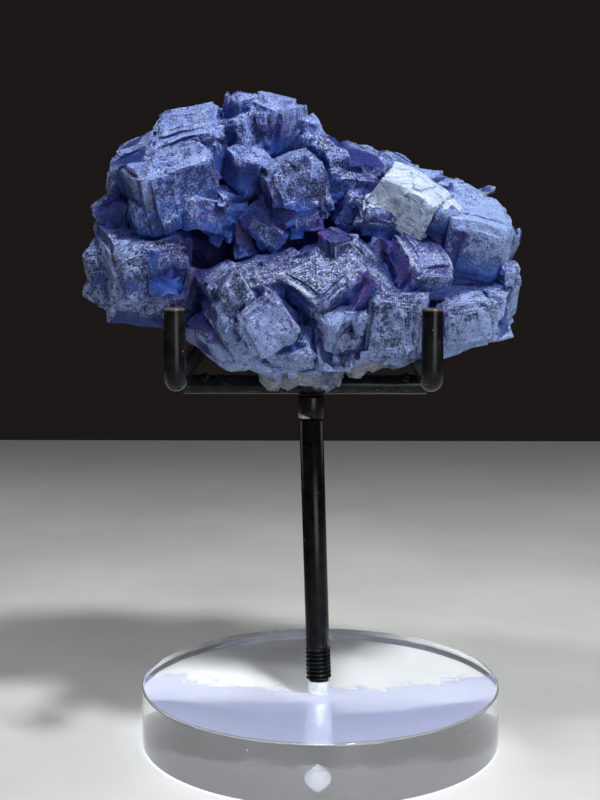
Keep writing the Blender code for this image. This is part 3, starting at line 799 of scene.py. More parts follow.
def box_matrix(centre, half, turn, flip=1):
    """Where a one metre shape goes to fill a box given in millimetres."""
    spread = np.diag(2 * half * MM)
    matrix = np.eye(4)
    matrix[:3, :3] = turn @ spread
    matrix[:3, 3] = centre * MM
    return Matrix(matrix.tolist())


UPRIGHTS = {(0, 1): (0, math.pi / 2, 0), (0, -1): (0, -math.pi / 2, 0), (1, 1): (-math.pi / 2, 0, 0),
            (1, -1): (math.pi / 2, 0, 0), (2, 1): (0, 0, 0), (2, -1): (math.pi, 0, 0)}


def terrace_matrix(centre, half, turn, number, axis, side):
    """As a box, with the terrace's drawn-in top turned to face outward."""
    upright = Euler(UPRIGHTS[axis, side]).to_matrix()
    swapped = np.abs(np.array(upright).T @ half)
    return box_matrix(centre, swapped, turn @ np.array(upright))


def fill_collection(name, shape, matrices):
    """A new collection with one copy of a shape for each matrix, each its own mesh."""
    made = bpy.data.collections.new(name)
    bpy.context.scene.collection.children.link(made)
    for number, matrix in enumerate(matrices):
        mesh = shape.data.copy()
        mesh.transform(matrix)
        made.objects.link(bpy.data.objects.new(f"{name}_{number}", mesh))
    return made


def join_collection(piece, collection, operation):
    """Apply a Boolean with a whole collection, then throw the collection away."""
    modifier = piece.modifiers.new(collection.name, "BOOLEAN")
    modifier.operation = operation
    modifier.operand_type = "COLLECTION"
    modifier.collection = collection
    modifier.solver = "MANIFOLD"
    choose(piece)
    bpy.ops.object.modifier_apply(modifier=modifier.name)
    meshes = [part.data for part in collection.objects]
    bpy.data.batch_remove(list(collection.objects))
    bpy.data.batch_remove(meshes)
    bpy.data.collections.remove(collection)
    print(operation.lower(), "->", len(piece.data.polygons), "faces,", open_edges(piece.data), "open edges")


cube_shape = start_piece("crumb", bpy.ops.mesh.primitive_cube_add, size=1.0)
join_collection(stone, fill_collection("terraces", terrace, [terrace_matrix(*row) for row in terraces]), "UNION")
join_collection(stone, fill_collection("facets", cube_shape, [box_matrix(*row[:3]) for row in facets]), "DIFFERENCE")
join_collection(stone, fill_collection("nicks", cube_shape, [box_matrix(*row[:3]) for row in nicks]), "DIFFERENCE")
join_collection(stone, fill_collection("chips", chip_shape, [box_matrix(*row[:3]) for row in chips]), "UNION")
join_collection(stone, fill_collection("crumbs", cube_shape, [box_matrix(*row[:3]) for row in crumbs]), "UNION")
for shape in (terrace, chip_shape, cube_shape):
    bpy.data.objects.remove(shape)

# %% [markdown]
# ## Even out the mesh
# The joined skin has long thin triangles that span whole faces. Anything that is to vary
# over a face, such as its wear or how deep it lies, needs corners inside it. So edges
# longer than a little over a millimetre are cut in two, a few times over.

# %% Cut the long edges
LONGEST_EDGE = 2.2
SPLIT_ROUNDS = 3
FLAT_ANGLE = 0.4
CLOSING_ROUNDS = 8


def split_long_edges(piece, longest, rounds):
    """Merge what is flat, then halve the edges that are too long, and make triangles again."""
    choose(piece)
    bpy.ops.object.mode_set(mode="EDIT")
    bpy.ops.mesh.select_all(action="SELECT")
    bpy.ops.mesh.dissolve_limited(angle_limit=math.radians(FLAT_ANGLE))
    bpy.ops.mesh.quads_convert_to_tris(quad_method="SHORTEST_DIAGONAL", ngon_method="BEAUTY")
    for round_number in range(rounds):
        bm = bmesh.from_edit_mesh(piece.data)
        bpy.ops.mesh.select_mode(type="EDGE")
        bpy.ops.mesh.select_all(action="DESELECT")
        long_edges = [edge for edge in bm.edges if edge.calc_length() > longest * MM]
        if not long_edges:
            break
        for edge in long_edges:
            edge.select_set(True)
        bmesh.update_edit_mesh(piece.data)
        bpy.ops.mesh.subdivide(number_cuts=1, quadcorner="INNERVERT")
        bpy.ops.mesh.select_all(action="SELECT")
        bpy.ops.mesh.quads_convert_to_tris(quad_method="SHORTEST_DIAGONAL", ngon_method="BEAUTY")
    bpy.ops.object.mode_set(mode="OBJECT")


def close_slivers(piece, rounds):
    """Pull each open edge, which is a sliver between two facets, together to one corner."""
    choose(piece)
    bpy.ops.object.mode_set(mode="EDIT")
    bpy.ops.mesh.select_mode(type="VERT")
    for round_number in range(rounds):
        bpy.ops.mesh.select_all(action="DESELECT")
        bpy.ops.mesh.select_non_manifold()
        if not any(corner.select for corner in bmesh.from_edit_mesh(piece.data).verts):
            break
        bpy.ops.mesh.merge(type="COLLAPSE")
        bpy.ops.mesh.select_all(action="SELECT")
        bpy.ops.mesh.dissolve_degenerate(threshold=1e-7)
        bpy.ops.mesh.quads_convert_to_tris(quad_method="SHORTEST_DIAGONAL", ngon_method="BEAUTY")
    bpy.ops.object.mode_set(mode="OBJECT")


split_long_edges(stone, LONGEST_EDGE, SPLIT_ROUNDS)
close_slivers(stone, CLOSING_ROUNDS)
print("evened stone:", len(stone.data.polygons), "triangles,", open_edges(stone.data), "open edges")

# %% [markdown]
# ## Telling every facet what it is
# Now each small triangle is matched to the terrace, facet, crumb or cube that it lies on.
# It then knows its place within that box, in the box's own directions, and so how far it
# is from the nearest edge, which is painted pale as partly wear and partly a painted
# highlight. These facts are stored as attributes on the mesh. The material will read them.

# %% Match the triangles to their boxes
BOX_FACES = [(axis, side) for axis in range(3) for side in (-1, 1)]
FLAT_REACH = 0.02
boxes = terraces + facets + nicks + crumbs


def box_side(centre, half, turn, axis, side):
    """The four corners of one side of a box, in millimetres."""
    wide, deep = [other for other in range(3) if other != axis]
    corners = []
    for first, second in ((-1, -1), (1, -1), (1, 1), (-1, 1)):
        place = np.zeros(3)
        place[axis], place[wide], place[deep] = side * half[axis], first * half[wide], second * half[deep]
        corners.append(tuple(turn @ place + centre))
    return corners


box_corners, box_faces = [], []
for centre, half, turn, number, axis, side in boxes:
    for face_axis, face_side in BOX_FACES:
        box_faces.append(tuple(range(len(box_corners), len(box_corners) + 4)))
        box_corners += box_side(centre, half, turn, face_axis, face_side)
box_tree = BVHTree.FromPolygons(box_corners, box_faces)


def match_box(point, normal):
    """Which small box a triangle lies on, as an index into boxes, or -1."""
    best, best_facing = -1, 0.9
    for hit, box_normal, index, distance in box_tree.find_nearest_range(Vector(point), FLAT_REACH):
        facing = abs(box_normal.dot(Vector(normal)))
        if facing > best_facing:
            best, best_facing = index // len(BOX_FACES), facing
    return best


mesh = stone.data
middles = np.array([face.center for face in mesh.polygons]) / MM
normals = np.array([face.normal for face in mesh.polygons])
box_matches = np.array([match_box(point, normal) for point, normal in zip(middles, normals)])
cube_matches = hosts_of(middles, normals)
frame_of = np.where(box_matches >= 0, box_matches, len(boxes) + np.where(cube_matches >= 0, cube_matches, len(CUBES)))
print((box_matches >= 0).sum(), "triangles on small boxes,", (frame_of == len(boxes) + len(CUBES)).sum(), "on rock")

# %% Store the facts as attributes
tint_chance = np.random.default_rng(17)


def add_attribute(name, kind, domain, values):
    """Store one array as a named attribute of the stone's mesh."""
    layer = mesh.attributes.new(name, kind, domain)
    layer.data.foreach_set("vector" if kind == "FLOAT_VECTOR" else "value", np.ravel(values).astype(np.float32))


all_centres = np.array([row[0] for row in boxes] + list(Cubes.centre) + [np.zeros(3)])
all_halves = np.array([row[1] for row in boxes] + list(Cubes.half) + [np.zeros(3)])
all_turns = np.array([row[2] for row in boxes] + list(Cubes.turn) + [np.eye(3)])
all_hosts = np.array([row[3] for row in boxes] + list(range(len(CUBES))) + [-1])
loop_frame = np.repeat(frame_of, 3)
loop_corner = np.zeros(len(mesh.loops), int)
mesh.loops.foreach_get("vertex_index", loop_corner)
corner_places = np.array([vert.co for vert in mesh.vertices]) / MM
offset = corner_places[loop_corner] - all_centres[loop_frame]
spot_in_box = np.einsum("nji,nj->ni", all_turns[loop_frame], offset)
plate_chance = tint_chance.random(len(all_centres))
cube_chance = tint_chance.random(len(CUBES) + 1)
host_of_face = all_hosts[frame_of]
add_attribute("spot", "FLOAT_VECTOR", "CORNER", spot_in_box)
add_attribute("reach", "FLOAT_VECTOR", "FACE", all_halves[frame_of])
host_centre = np.vstack([Cubes.centre, np.zeros(3)])[all_hosts[frame_of]]
host_half = np.append(Cubes.half.max(axis=1), 1.0)[all_hosts[frame_of]]
# How far each corner hangs below its cube's middle; the material paints a blue glow and less frost there, as painted
# light.
hang = (np.repeat(host_centre[:, 2], 3) - corner_places[loop_corner, 2]) / np.repeat(host_half, 3)
add_attribute("hang", "FLOAT", "CORNER", np.where(np.repeat(all_hosts[frame_of], 3) >= 0, hang, 0.0))
add_attribute("plate_chance", "FLOAT", "FACE", plate_chance[frame_of])
add_attribute("cube_chance", "FLOAT", "FACE", cube_chance[host_of_face])
bare = np.array([is_rock(point) for point in middles])
add_attribute("rock", "FLOAT", "FACE", (host_of_face < 0) & bare)
finish_of_face = np.array([Cubes.finish[host] if host >= 0 else "r" for host in host_of_face])
for letter, name in FINISHES.items():
    add_attribute(name, "FLOAT", "FACE", finish_of_face == letter)
print("attributes:", [layer.name for layer in mesh.attributes if not layer.name.startswith(".")])

# %% [markdown]
# ## How deep each place lies
# The recesses of the real stone glow a deep blue, because light reaches them only
# through crystal. To know a recess, rays are sent out from each corner of the mesh, and
# those that meet the stone again are counted. The result is smoothed a little, and it is
# stored as an attribute too. The material paints that glow, and shade, into the recesses.

# %% Measure the recesses
RAYS = 14
RAY_REACH = 16.0
SMOOTHING_ROUNDS = 2
ray_chance = np.random.default_rng(4)
ray_ways = ray_chance.normal(size=(RAYS, 3))
ray_ways /= np.linalg.norm(ray_ways, axis=1)[:, None]
corner_normals = np.array([vert.normal for vert in mesh.vertices])


def shelter(point, normal):
    """The share of the rays from a place, weighted towards its normal, that meet stone."""
    blocked, total = 0.0, 0.0
    start = Vector(point + normal * 0.15)
    for way in ray_ways:
        weight = way @ normal
        direction = Vector(way if weight > 0 else -way)
        weight = abs(weight) + 0.15
        total += weight
        if stone_surface.ray_cast(start, direction, RAY_REACH)[0] is not None:
            blocked += weight
    return blocked / total


depth = np.array([shelter(point, normal) for point, normal in zip(corner_places, corner_normals)])
edge_ends = np.zeros(len(mesh.edges) * 2, int)
mesh.edges.foreach_get("vertices", edge_ends)
edge_ends = edge_ends.reshape(-1, 2)


def smooth_over_edges(values, rounds):
    """Average each corner with its neighbours."""
    for round_number in range(rounds):
        total = values.copy()
        count = np.ones(len(values))
        for here, there in ((0, 1), (1, 0)):
            np.add.at(total, edge_ends[:, here], values[edge_ends[:, there]])
            np.add.at(count, edge_ends[:, here], 1)
        values = total / count
    return values


depth = smooth_over_edges(depth, SMOOTHING_ROUNDS)
add_attribute("depth", "FLOAT", "POINT", depth)
print("shelter, in tenths of the corners:", np.percentile(depth, range(10, 100, 10)).round(2))

# %% [markdown]
# ## Wear
# Real edges are never ruled lines. A broad waver bends whole cubes by a few tenths of a
# millimetre, a slow one bends their faces, a quick one nibbles at the edges, and the
# outer edges are rubbed round. The noise is seeded, so that each run wears the stone alike.

# %% Wear the surface
BROAD_WAVER = (0.10, 1.0)
SLOW_WAVER = (0.27, 0.42)
QUICK_WAVER = (1.0, 0.10)
SHARP_EDGE = 35
RUBBING = 0.16
WAVER_SEED = 7


def waver(point, frequency, amount):
    """A small shift in space that changes smoothly from place to place."""
    return noise.noise_vector(point * frequency) * amount


noise.seed_set(WAVER_SEED)
choose(stone)
bpy.ops.object.mode_set(mode="EDIT")
bpy.ops.mesh.select_mode(type="EDGE")
bpy.ops.mesh.select_all(action="DESELECT")
bpy.ops.mesh.edges_select_sharp(sharpness=math.radians(SHARP_EDGE))
bpy.ops.mesh.vertices_smooth(factor=RUBBING, repeat=1)
bpy.ops.object.mode_set(mode="OBJECT")
for vert in mesh.vertices:
    place = vert.co / MM
    shift = waver(place, *BROAD_WAVER) + waver(place, *SLOW_WAVER) + waver(place + Vector((50, 0, 0)), *QUICK_WAVER)
    vert.co = (place + shift) * MM
choose(stone)
bpy.ops.object.shade_smooth_by_angle(angle=math.radians(22))
print("worn stone:", [round(side / MM, 1) for side in stone.dimensions], "mm")

# %% [markdown]
# ## The stone's material
# Fluorite is see-through, but the skin of this one is frosted: it is a mosaic of tiny
# square facets that glitter. So the material is part clear crystal that absorbs warm
# light, and part pale frost. The frost's colour, its gloss and its relief all come from
# patterns in each cube's own directions, with violet towards the cubes' edges and a
# saturated blue in the recesses, which is a painted glow. More light and shade is painted
# into the colour: painted shade in the recesses, a painted blue glow under the cubes,
# paler frost on faces that look up, a painted fill on the lower part and the left lobe,
# painted glints, and pale edges that are partly wear and partly painted highlight.

# %% Frosted fluorite
FROST_DARK = (0.008, 0.013, 0.085)
FROST_PALE = (0.20, 0.29, 0.72)
# DEEP_BLUE is also the painted glow of the recesses, and GLOW_BLUE that of the cubes' undersides.
DEEP_BLUE = (0.006, 0.022, 0.17)
GLOW_BLUE = (0.020, 0.10, 0.52)
ICE_BLUE = (0.10, 0.20, 0.50)
VIOLET = (0.065, 0.036, 0.25)
PLUM = (0.030, 0.014, 0.055)
FROST_GREY = (0.20, 0.25, 0.53)
FROST_ICY = (0.32, 0.45, 0.80)
FROST_AND_GLINT_WHITE = (0.70, 0.82, 1.0)
ROCK_PALE = (0.40, 0.44, 0.47)
ROCK_DARK = (0.07, 0.08, 0.12)
SPARKLE_SIZE = 0.26
MOSAIC_SIZE = 0.75
STEP_SIZE = 2.1


def read(wire, name, out=2):
    """Read one attribute of the mesh: 2 is its value and 1 its vector."""
    return wire.node("ShaderNodeAttribute", {"attribute_name": name}, out=out)


def cells(wire, place, size, square=False, out=1):
    """A random colour or distance for each cell of a given size in millimetres."""
    return wire.node("ShaderNodeTexVoronoi", {"distance": "CHEBYCHEV" if square else "EUCLIDEAN"},
                     {"Vector": place, "Scale": 1 / size, "Randomness": 0.85}, out=out)


def crystal_material():
    material, wire, shader = new_material("frosted fluorite")
    place = wire.vector("SCALE", wire.node("ShaderNodeTexCoord", out=3))
    place.socket.node.inputs["Scale"].default_value = 1 / MM
    spot, reach = read(wire, "spot", 1), read(wire, "reach", 1)
    rock, depth_here = read(wire, "rock"), read(wire, "depth")
    glassy, whitish, dusky = read(wire, "glassy"), read(wire, "whitish"), read(wire, "dusky")
    violet, bluish = read(wire, "violet"), read(wire, "bluish")
    plate, cube = read(wire, "plate_chance"), read(wire, "cube_chance")

    across = wire.vector("SUBTRACT", reach, wire.vector("ABSOLUTE", spot)).parts()
    far = reach.parts()
    large = far[0].lower(far[1]).lower(far[2]).step(1.2, 2.4)
    edge = across[0].lower(across[1]).upper(across[0].upper(across[1]).lower(across[2]))
    patches = grain_noise(wire, place, 0.16, 4.0)
    clouds = grain_noise(wire, place, 0.55, 5.0, 0.62)
    grit = grain_noise(wire, place, 4.2, 3.0, 0.7)
    sparkle = cells(wire, place, SPARKLE_SIZE).parts()
    tile_place = wire.vector("ADD", spot, wire.vector("SCALE", reach))
    mosaic = cells(wire, tile_place, MOSAIC_SIZE, square=True).parts()[0]
    steps = cells(wire, tile_place, STEP_SIZE, square=True).parts()[1]

    right, back, height = place.parts()
    upper = height.step(98.0, 122.0)
    # The lower part and the left lobe are lightened in the colour below: painted fill light.
    low = 1 - height.step(82.0, 101.0)
    painted_lobe_fill = (1 - right.step(-41.0, -29.0)) * (1 - height.step(104.0, 114.0))
    # Faces that look up get paler frost and more glints: painted top light.
    painted_top_light = wire.node("ShaderNodeNewGeometry", out=1).parts()[2].step(-0.1, 0.8)
    # Undersides of the cubes: a painted blue glow and less frost, as if lit through the crystal.
    painted_underglow = read(wire, "hang").step(0.10, 0.85) * height.step(92.0, 99.0) * patches.step(0.36, 0.56)
    streaks = grain_noise(wire, wire.vector("MULTIPLY", tile_place, (0.16, 1.3, 1.3)), 1.0, 4.0, 0.7)
    icy = (right + height * 0.3).step(46.0, 66.0)

    # Open air is the opposite of shelter. Where it is low, frost and glints are cut, which paints shade into the
    # recesses, and worn edges are cut there too.
    open_air = 1 - depth_here.step(0.22, 0.72)
    # The frost mask is frost pattern and painted light together: cut in the recesses and under the cubes, raised on
    # faces that look up, on the lower part and on the left lobe.
    frost_and_painted_light = (sparkle[0] * 0.42 + mosaic * 0.26 + grit * 0.56 + plate * 0.36 - 0.24) * (clouds.step(0.34, 0.64) * 0.80 + cube * 0.35 + 0.36)
    frost_and_painted_light = frost_and_painted_light * (open_air * 0.95 + 0.12) * (1 - dusky * 0.45) * (1 - glassy * 0.30)
    frost_and_painted_light = frost_and_painted_light * (painted_top_light * 0.24 + 0.70 + low * (1.00 - painted_top_light * 0.7) + painted_lobe_fill * 0.35 + icy * 0.50 + upper * 0.12) * (1 - painted_underglow * 0.75)
    # Pale edges: partly wear, partly a painted highlight where the edges catch the light.
    worn_and_highlit = (1 - edge.step(0.02, 0.34)) * grit.step(0.30, 0.56) * (1 - rock) * open_air * (large * 0.8 + 0.2)
    near_edge = (1 - edge.step(0.2, 2.2)) * patches.step(0.42, 0.66)

    # The body turns deep blue in the bluish cubes and the upper part, and in the recesses, where it is a painted glow
    # of light through the crystal.
    body = wire.blend(FROST_DARK, DEEP_BLUE, (depth_here.step(0.25, 0.7) + bluish * 0.35 + upper * 0.25).lower(1.0))
    body = wire.blend(body, GLOW_BLUE, ((glassy * 0.5 + bluish * 0.5) * clouds.step(0.3, 0.75) + upper * patches.step(0.5, 0.7) * 0.3).lower(1.0))
    body = wire.blend(body, VIOLET, (violet * patches.step(0.40, 0.60) * 0.8 + near_edge * 0.6 + cube.step(0.72, 0.98) * 0.25).lower(1.0))
    # The painted glow under the cubes.
    body = wire.blend(body, GLOW_BLUE, painted_underglow * 0.85)
    body = wire.blend(body, PLUM, dusky * 0.45)
    # Ice blue is the stone's own colour on the right; on the lower part it is painted fill light.
    body = wire.blend(body, ICE_BLUE, (icy * 0.30 + low * 0.20) * clouds.step(0.3, 0.6))
    pale = wire.blend(FROST_GREY, FROST_PALE, (upper * 0.7 + cube * 0.4).lower(1.0))
    # Icy frost on the right and on white cubes is colour; on the lower part it is painted fill light.
    pale = wire.blend(pale, FROST_ICY, (icy * 0.7 + whitish + low * 0.35).lower(1.0))
    frosted = wire.blend(body, pale, frost_and_painted_light.step(0.33, 0.74))
    # Painted glints: white specks on open faces, most on those that look up.
    painted_glint = (sparkle[1] * 0.6 + grit * 0.6).step(0.72, 0.88) * open_air * (0.25 + painted_top_light * 0.55 + glassy * 0.2)
    # White from the pale edges (wear and painted highlight), the painted glints and the white plate's streaks.
    frosted = wire.blend(frosted, FROST_AND_GLINT_WHITE, (worn_and_highlit * 0.7 + painted_glint + whitish * streaks.step(0.27, 0.58)).lower(1.0))
    stony = wire.blend(ROCK_DARK, ROCK_PALE, (clouds * 0.6 + grit * 0.5).step(0.35, 0.75))
    stony = wire.blend(stony, DEEP_BLUE, patches.step(0.45, 0.6) * 0.6)
    colour = wire.blend(frosted, stony, rock)

    lean = wire.vector("SUBTRACT", cells(wire, place, SPARKLE_SIZE), (0.5, 0.5, 0.5))
    lean = wire.vector("SCALE", lean)
    lean.socket.node.inputs["Scale"].default_value = 0.70
    facing = wire.vector("NORMALIZE", wire.vector("ADD", wire.node("ShaderNodeNewGeometry", out=1), lean))
    bumps = mosaic * 0.16 + steps * 0.30 + grit * 0.18 + sparkle[1] * 0.03
    relief = wire.node("ShaderNodeBump", (), {"Strength": 1.0, "Distance": MM, "Height": bumps, "Normal": facing})
    gloss = 0.18 + sparkle[2] * 0.40 + clouds * 0.14 - glassy * 0.10
    dress(wire, shader, Base_Color=colour, Roughness=gloss, Normal=relief, IOR=1.434,
          Transmission_Weight=0.30, Specular_IOR_Level=0.75, Specular_Tint=(0.66, 0.76, 1.0),
          Subsurface_Weight=0.12, Subsurface_Radius=(0.15, 0.40, 1.0), Subsurface_Scale=3.5 * MM)
    absorb = wire.node("ShaderNodeVolumeAbsorption", (), {"Color": (0.25, 0.38, 0.92), "Density": 70.0})
    output = wire.tree.nodes["Material Output"]
    wire.tree.links.new(absorb.socket, output.inputs["Volume"])
    return material


stone.data.materials.clear()
stone.data.materials.append(crystal_material())
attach(stone, "root")
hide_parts("fluorite")
print("stone dressed:", stone.data.materials[0].name)

# %% [markdown]
# ## The cradle arms
# Each arm is one steel rod, bent up at both ends into a prong. It is made as it would be
# bent: a ring is drawn down from the top of the front prong, swung round the first
# elbow, drawn to the back, swung round the second elbow and drawn up again. At a tight
# bend a rod swells, and these elbows look almost like balls, so they are swollen a little.

# %% Bend the arms
ROD = 4.0
BAR_HEIGHT = 76.3
ARM_HEIGHT = 80.6
ARM_PLACES = {"left_arm": -27.4, "right_arm": 20.9}
ARM_FRONT, ARM_REAR = -30.0, 25.0
PRONG_TOP = 94.5
ELBOW = 2.4
ELBOW_SWELL = 0.14


def edge_picker(piece, wanted):
    """In edit mode, select only the edges whose two ends pass a test."""
    bm = bmesh.from_edit_mesh(piece.data)
    bpy.ops.mesh.select_mode(type="EDGE")
    bpy.ops.mesh.select_all(action="DESELECT")
    for edge in bm.edges:
        edge.select_set(wanted(*(end.co / MM for end in edge.verts)))
    bmesh.update_edit_mesh(piece.data)


def draw_out(x, y, z):
    """Extrude the selected ring by a distance in millimetres."""
    bpy.ops.mesh.extrude_region_move(TRANSFORM_OT_translate={"value": (x * MM, y * MM, z * MM)})


def swing_elbow(x, y, z):
    """Swing the selected ring a quarter turn round a centre in millimetres."""
    bpy.ops.mesh.spin(steps=10, angle=-math.pi / 2, center=(x * MM, y * MM, z * MM), axis=(1, 0, 0))


def close_and_turn_out():
    """Fill what is open, merge doubles and point all the faces outwards."""
    bpy.ops.mesh.select_all(action="SELECT")
    bpy.ops.mesh.remove_doubles(threshold=1e-6)
    bpy.ops.mesh.fill_holes(sides=0)
    bpy.ops.mesh.select_all(action="SELECT")
    bpy.ops.mesh.normals_make_consistent(inside=False)


def swell(piece, centre, line, reach, amount):
    """Push corners near a centre away from the rod's middle line."""
    for vert in piece.data.vertices:
        place = vert.co / MM
        near = max(0.0, 1 - (place - Vector(centre)).length / reach)
        vert.co = (place + (place - line(place)) * amount * near) * MM


def elbow_line(x, centre_y, centre_z):
    """The point of the elbow's middle line that is nearest to a place."""
    def nearest(place):
        way = Vector((0, place.y - centre_y, place.z - centre_z)).normalized()
        return Vector((x, centre_y, centre_z)) + way * ELBOW
    return nearest


def bend_arm(node, x):
    arm = start_piece(node + "_rod", bpy.ops.mesh.primitive_circle_add, vertices=36, radius=ROD / 2 * MM,
                      location=(x * MM, ARM_FRONT * MM, PRONG_TOP * MM))
    bpy.ops.object.transform_apply(location=True)
    bpy.ops.object.mode_set(mode="EDIT")
    bpy.ops.mesh.select_all(action="SELECT")
    draw_out(0, 0, ARM_HEIGHT + ELBOW - PRONG_TOP)
    swing_elbow(x, ARM_FRONT + ELBOW, ARM_HEIGHT + ELBOW)
    draw_out(0, ARM_REAR - ARM_FRONT - 2 * ELBOW, 0)
    swing_elbow(x, ARM_REAR - ELBOW, ARM_HEIGHT + ELBOW)
    draw_out(0, 0, PRONG_TOP - ARM_HEIGHT - ELBOW)
    close_and_turn_out()
    edge_picker(arm, lambda one, two: min(one.z, two.z) > PRONG_TOP - 0.01)
    bpy.ops.mesh.bevel(offset=0.3 * MM, segments=3, affect="EDGES")
    bpy.ops.object.mode_set(mode="OBJECT")
    for y in (ARM_FRONT + ELBOW, ARM_REAR - ELBOW):
        swell(arm, (x, y + math.copysign(1.7, y), ARM_HEIGHT + 0.7), elbow_line(x, y, ARM_HEIGHT + ELBOW), 4.6, ELBOW_SWELL)
    return arm


arms = {node: bend_arm(node, x) for node, x in ARM_PLACES.items()}
for node, arm in arms.items():
    print(node, [round(side / MM, 1) for side in arm.dimensions], "mm,", open_edges(arm.data), "open edges")

# %% [markdown]
# ## The crossbar and its welds
# A straight rod under the stone carries both arms. Where the arms and the stem meet it,
# beads of weld and a smear of putty were left rough. Each bead is a ball whose surface is
# pushed about by noise, joined to the rod so that it grows out of it.

# %% Make the crossbar
BAR_ENDS = (-28.6, 22.1)
BEADS = (((-1.6, -1.3, 76.0), (6.6, 2.5, 2.6)), ((-24.1, -0.4, 77.5), (2.5, 3.3, 2.3)),
         ((17.6, -0.4, 77.5), (2.5, 3.3, 2.3)))


def make_bead(number, at, size):
    bead = start_piece(f"bead_{number}", bpy.ops.mesh.primitive_ico_sphere_add, subdivisions=4, radius=0.5)
    for vert in bead.data.vertices:
        lumpy = 1 + 0.24 * noise.noise(vert.co * 4.0 + Vector((number, 0, 0))) + 0.08 * noise.noise(vert.co * 13.0)
        vert.co = Vector([part * edge * lumpy + middle for part, edge, middle in zip(vert.co, size, at)]) * MM
    return bead


def join_piece(piece, tool, operation="UNION"):
    """Apply a Boolean with one other piece, then remove it."""
    modifier = piece.modifiers.new(tool.name, "BOOLEAN")
    modifier.operation = operation
    modifier.object = tool
    modifier.solver = "MANIFOLD"
    choose(piece)
    bpy.ops.object.modifier_apply(modifier=modifier.name)
    bpy.data.objects.remove(tool)


def make_crossbar():
    bar = start_piece("crossbar_rod", bpy.ops.mesh.primitive_cylinder_add, vertices=36, radius=ROD / 2 * MM,
                      depth=(BAR_ENDS[1] - BAR_ENDS[0]) * MM, end_fill_type="NGON", rotation=(0, math.pi / 2, 0),
                      location=(sum(BAR_ENDS) / 2 * MM, 0, BAR_HEIGHT * MM))
    bpy.ops.object.transform_apply(location=True, rotation=True)
    bpy.ops.object.mode_set(mode="EDIT")
    edge_picker(bar, lambda one, two: abs(one.x - two.x) < 0.01)
    bpy.ops.mesh.bevel(offset=0.3 * MM, segments=2, affect="EDGES")
    bpy.ops.object.mode_set(mode="OBJECT")
    for number, (at, size) in enumerate(BEADS):
        join_piece(bar, make_bead(number, at, size))
    return bar


crossbar = make_crossbar()
print("crossbar", len(crossbar.data.polygons), "faces,", open_edges(crossbar.data), "open edges")

# %% [markdown]
# ## The socket
# A short sleeve joins the stem to the crossbar. Its lower rim was chipped, and the bright
# metal shows in the chip. The sleeve is a cylinder with bevelled rims, and a leaning box
# cuts the chip away.

# %% Turn and chip the socket
SOCKET_BOTTOM, SOCKET_TOP = 69.3, 74.0
SOCKET_X = -2.0
SOCKET_WIDTH = 5.4


def make_socket():
    socket = start_piece("socket_sleeve", bpy.ops.mesh.primitive_cylinder_add, vertices=48,
                         radius=SOCKET_WIDTH / 2 * MM, depth=(SOCKET_TOP - SOCKET_BOTTOM) * MM, end_fill_type="NGON",
                         location=(SOCKET_X * MM, 0, (SOCKET_TOP + SOCKET_BOTTOM) / 2 * MM))
    bpy.ops.object.transform_apply(location=True)
    bpy.ops.object.mode_set(mode="EDIT")
    edge_picker(socket, lambda one, two: abs(one.z - two.z) < 0.01)
    bpy.ops.mesh.bevel(offset=0.35 * MM, segments=3, affect="EDGES")
    bpy.ops.object.mode_set(mode="OBJECT")
    chip = start_piece("socket_chip", bpy.ops.mesh.primitive_cube_add, size=1.0)
    lean = Matrix.Rotation(math.radians(-24), 4, "Y") @ Matrix.Rotation(math.radians(14), 4, "X")
    place = Matrix.Translation(Vector((SOCKET_X - 2.0, -2.6, SOCKET_BOTTOM - 0.1)) * MM)
    chip.data.transform(place @ lean @ Matrix.Diagonal((4.6 * MM, 1.6 * MM, 1.7 * MM, 1)))
    join_piece(socket, chip, "DIFFERENCE")
    return socket


socket = make_socket()
print("socket", len(socket.data.polygons), "faces,", open_edges(socket.data), "open edges")

# %% [markdown]
# ## The threaded stem
# The stem is a five millimetre rod, and its foot has a real screw thread. A thread is a
# ridge that climbs as it goes round, so the radius of each corner follows from its
# height and its angle together. The side edges of a cylinder are cut into many rows
# there, and the rows are moved by that rule. Below the thread a thinner end goes into
# the disc. The whole stem leans a little to the left, as in the photograph.

# %% Cut the thread
STEM_TIP, STEM_HEAD = 9.4, 69.0
DISC_HEIGHT = 12.7
THREAD_FOOT, THREAD_HEAD = 13.15, 20.35
THREAD_TURNS = 8
THREAD_ROWS = 88
SHAFT_RADIUS, TIP_RADIUS = 2.5, 2.05
THREAD_CREST, THREAD_ROOT = 2.70, 2.22
STEM_FOOT_X = -0.3
STEM_LEAN = -1.7 / 56.3


def cut_across(height):
    """Cut all the faces at a height in millimetres."""
    bpy.ops.mesh.select_all(action="SELECT")
    bpy.ops.mesh.bisect(plane_co=(0, 0, height * MM), plane_no=(0, 0, 1), threshold=1e-7)


def stem_radius(height, angle):
    """The radius of the stem at a height in millimetres and an angle round it."""
    if height < THREAD_FOOT - 0.001:
        return TIP_RADIUS
    if height > THREAD_HEAD + 0.001:
        return SHAFT_RADIUS
    turns = (height - THREAD_FOOT) / (THREAD_HEAD - THREAD_FOOT) * THREAD_TURNS
    ridge = 1 - abs(2 * ((turns - angle / (2 * math.pi)) % 1.0) - 1)
    fade = min(1.0, (THREAD_HEAD - height) / 0.5)
    crest = THREAD_ROOT + (THREAD_CREST - THREAD_ROOT) * min(1.0, ridge * 1.25)
    return SHAFT_RADIUS + (crest - SHAFT_RADIUS) * fade


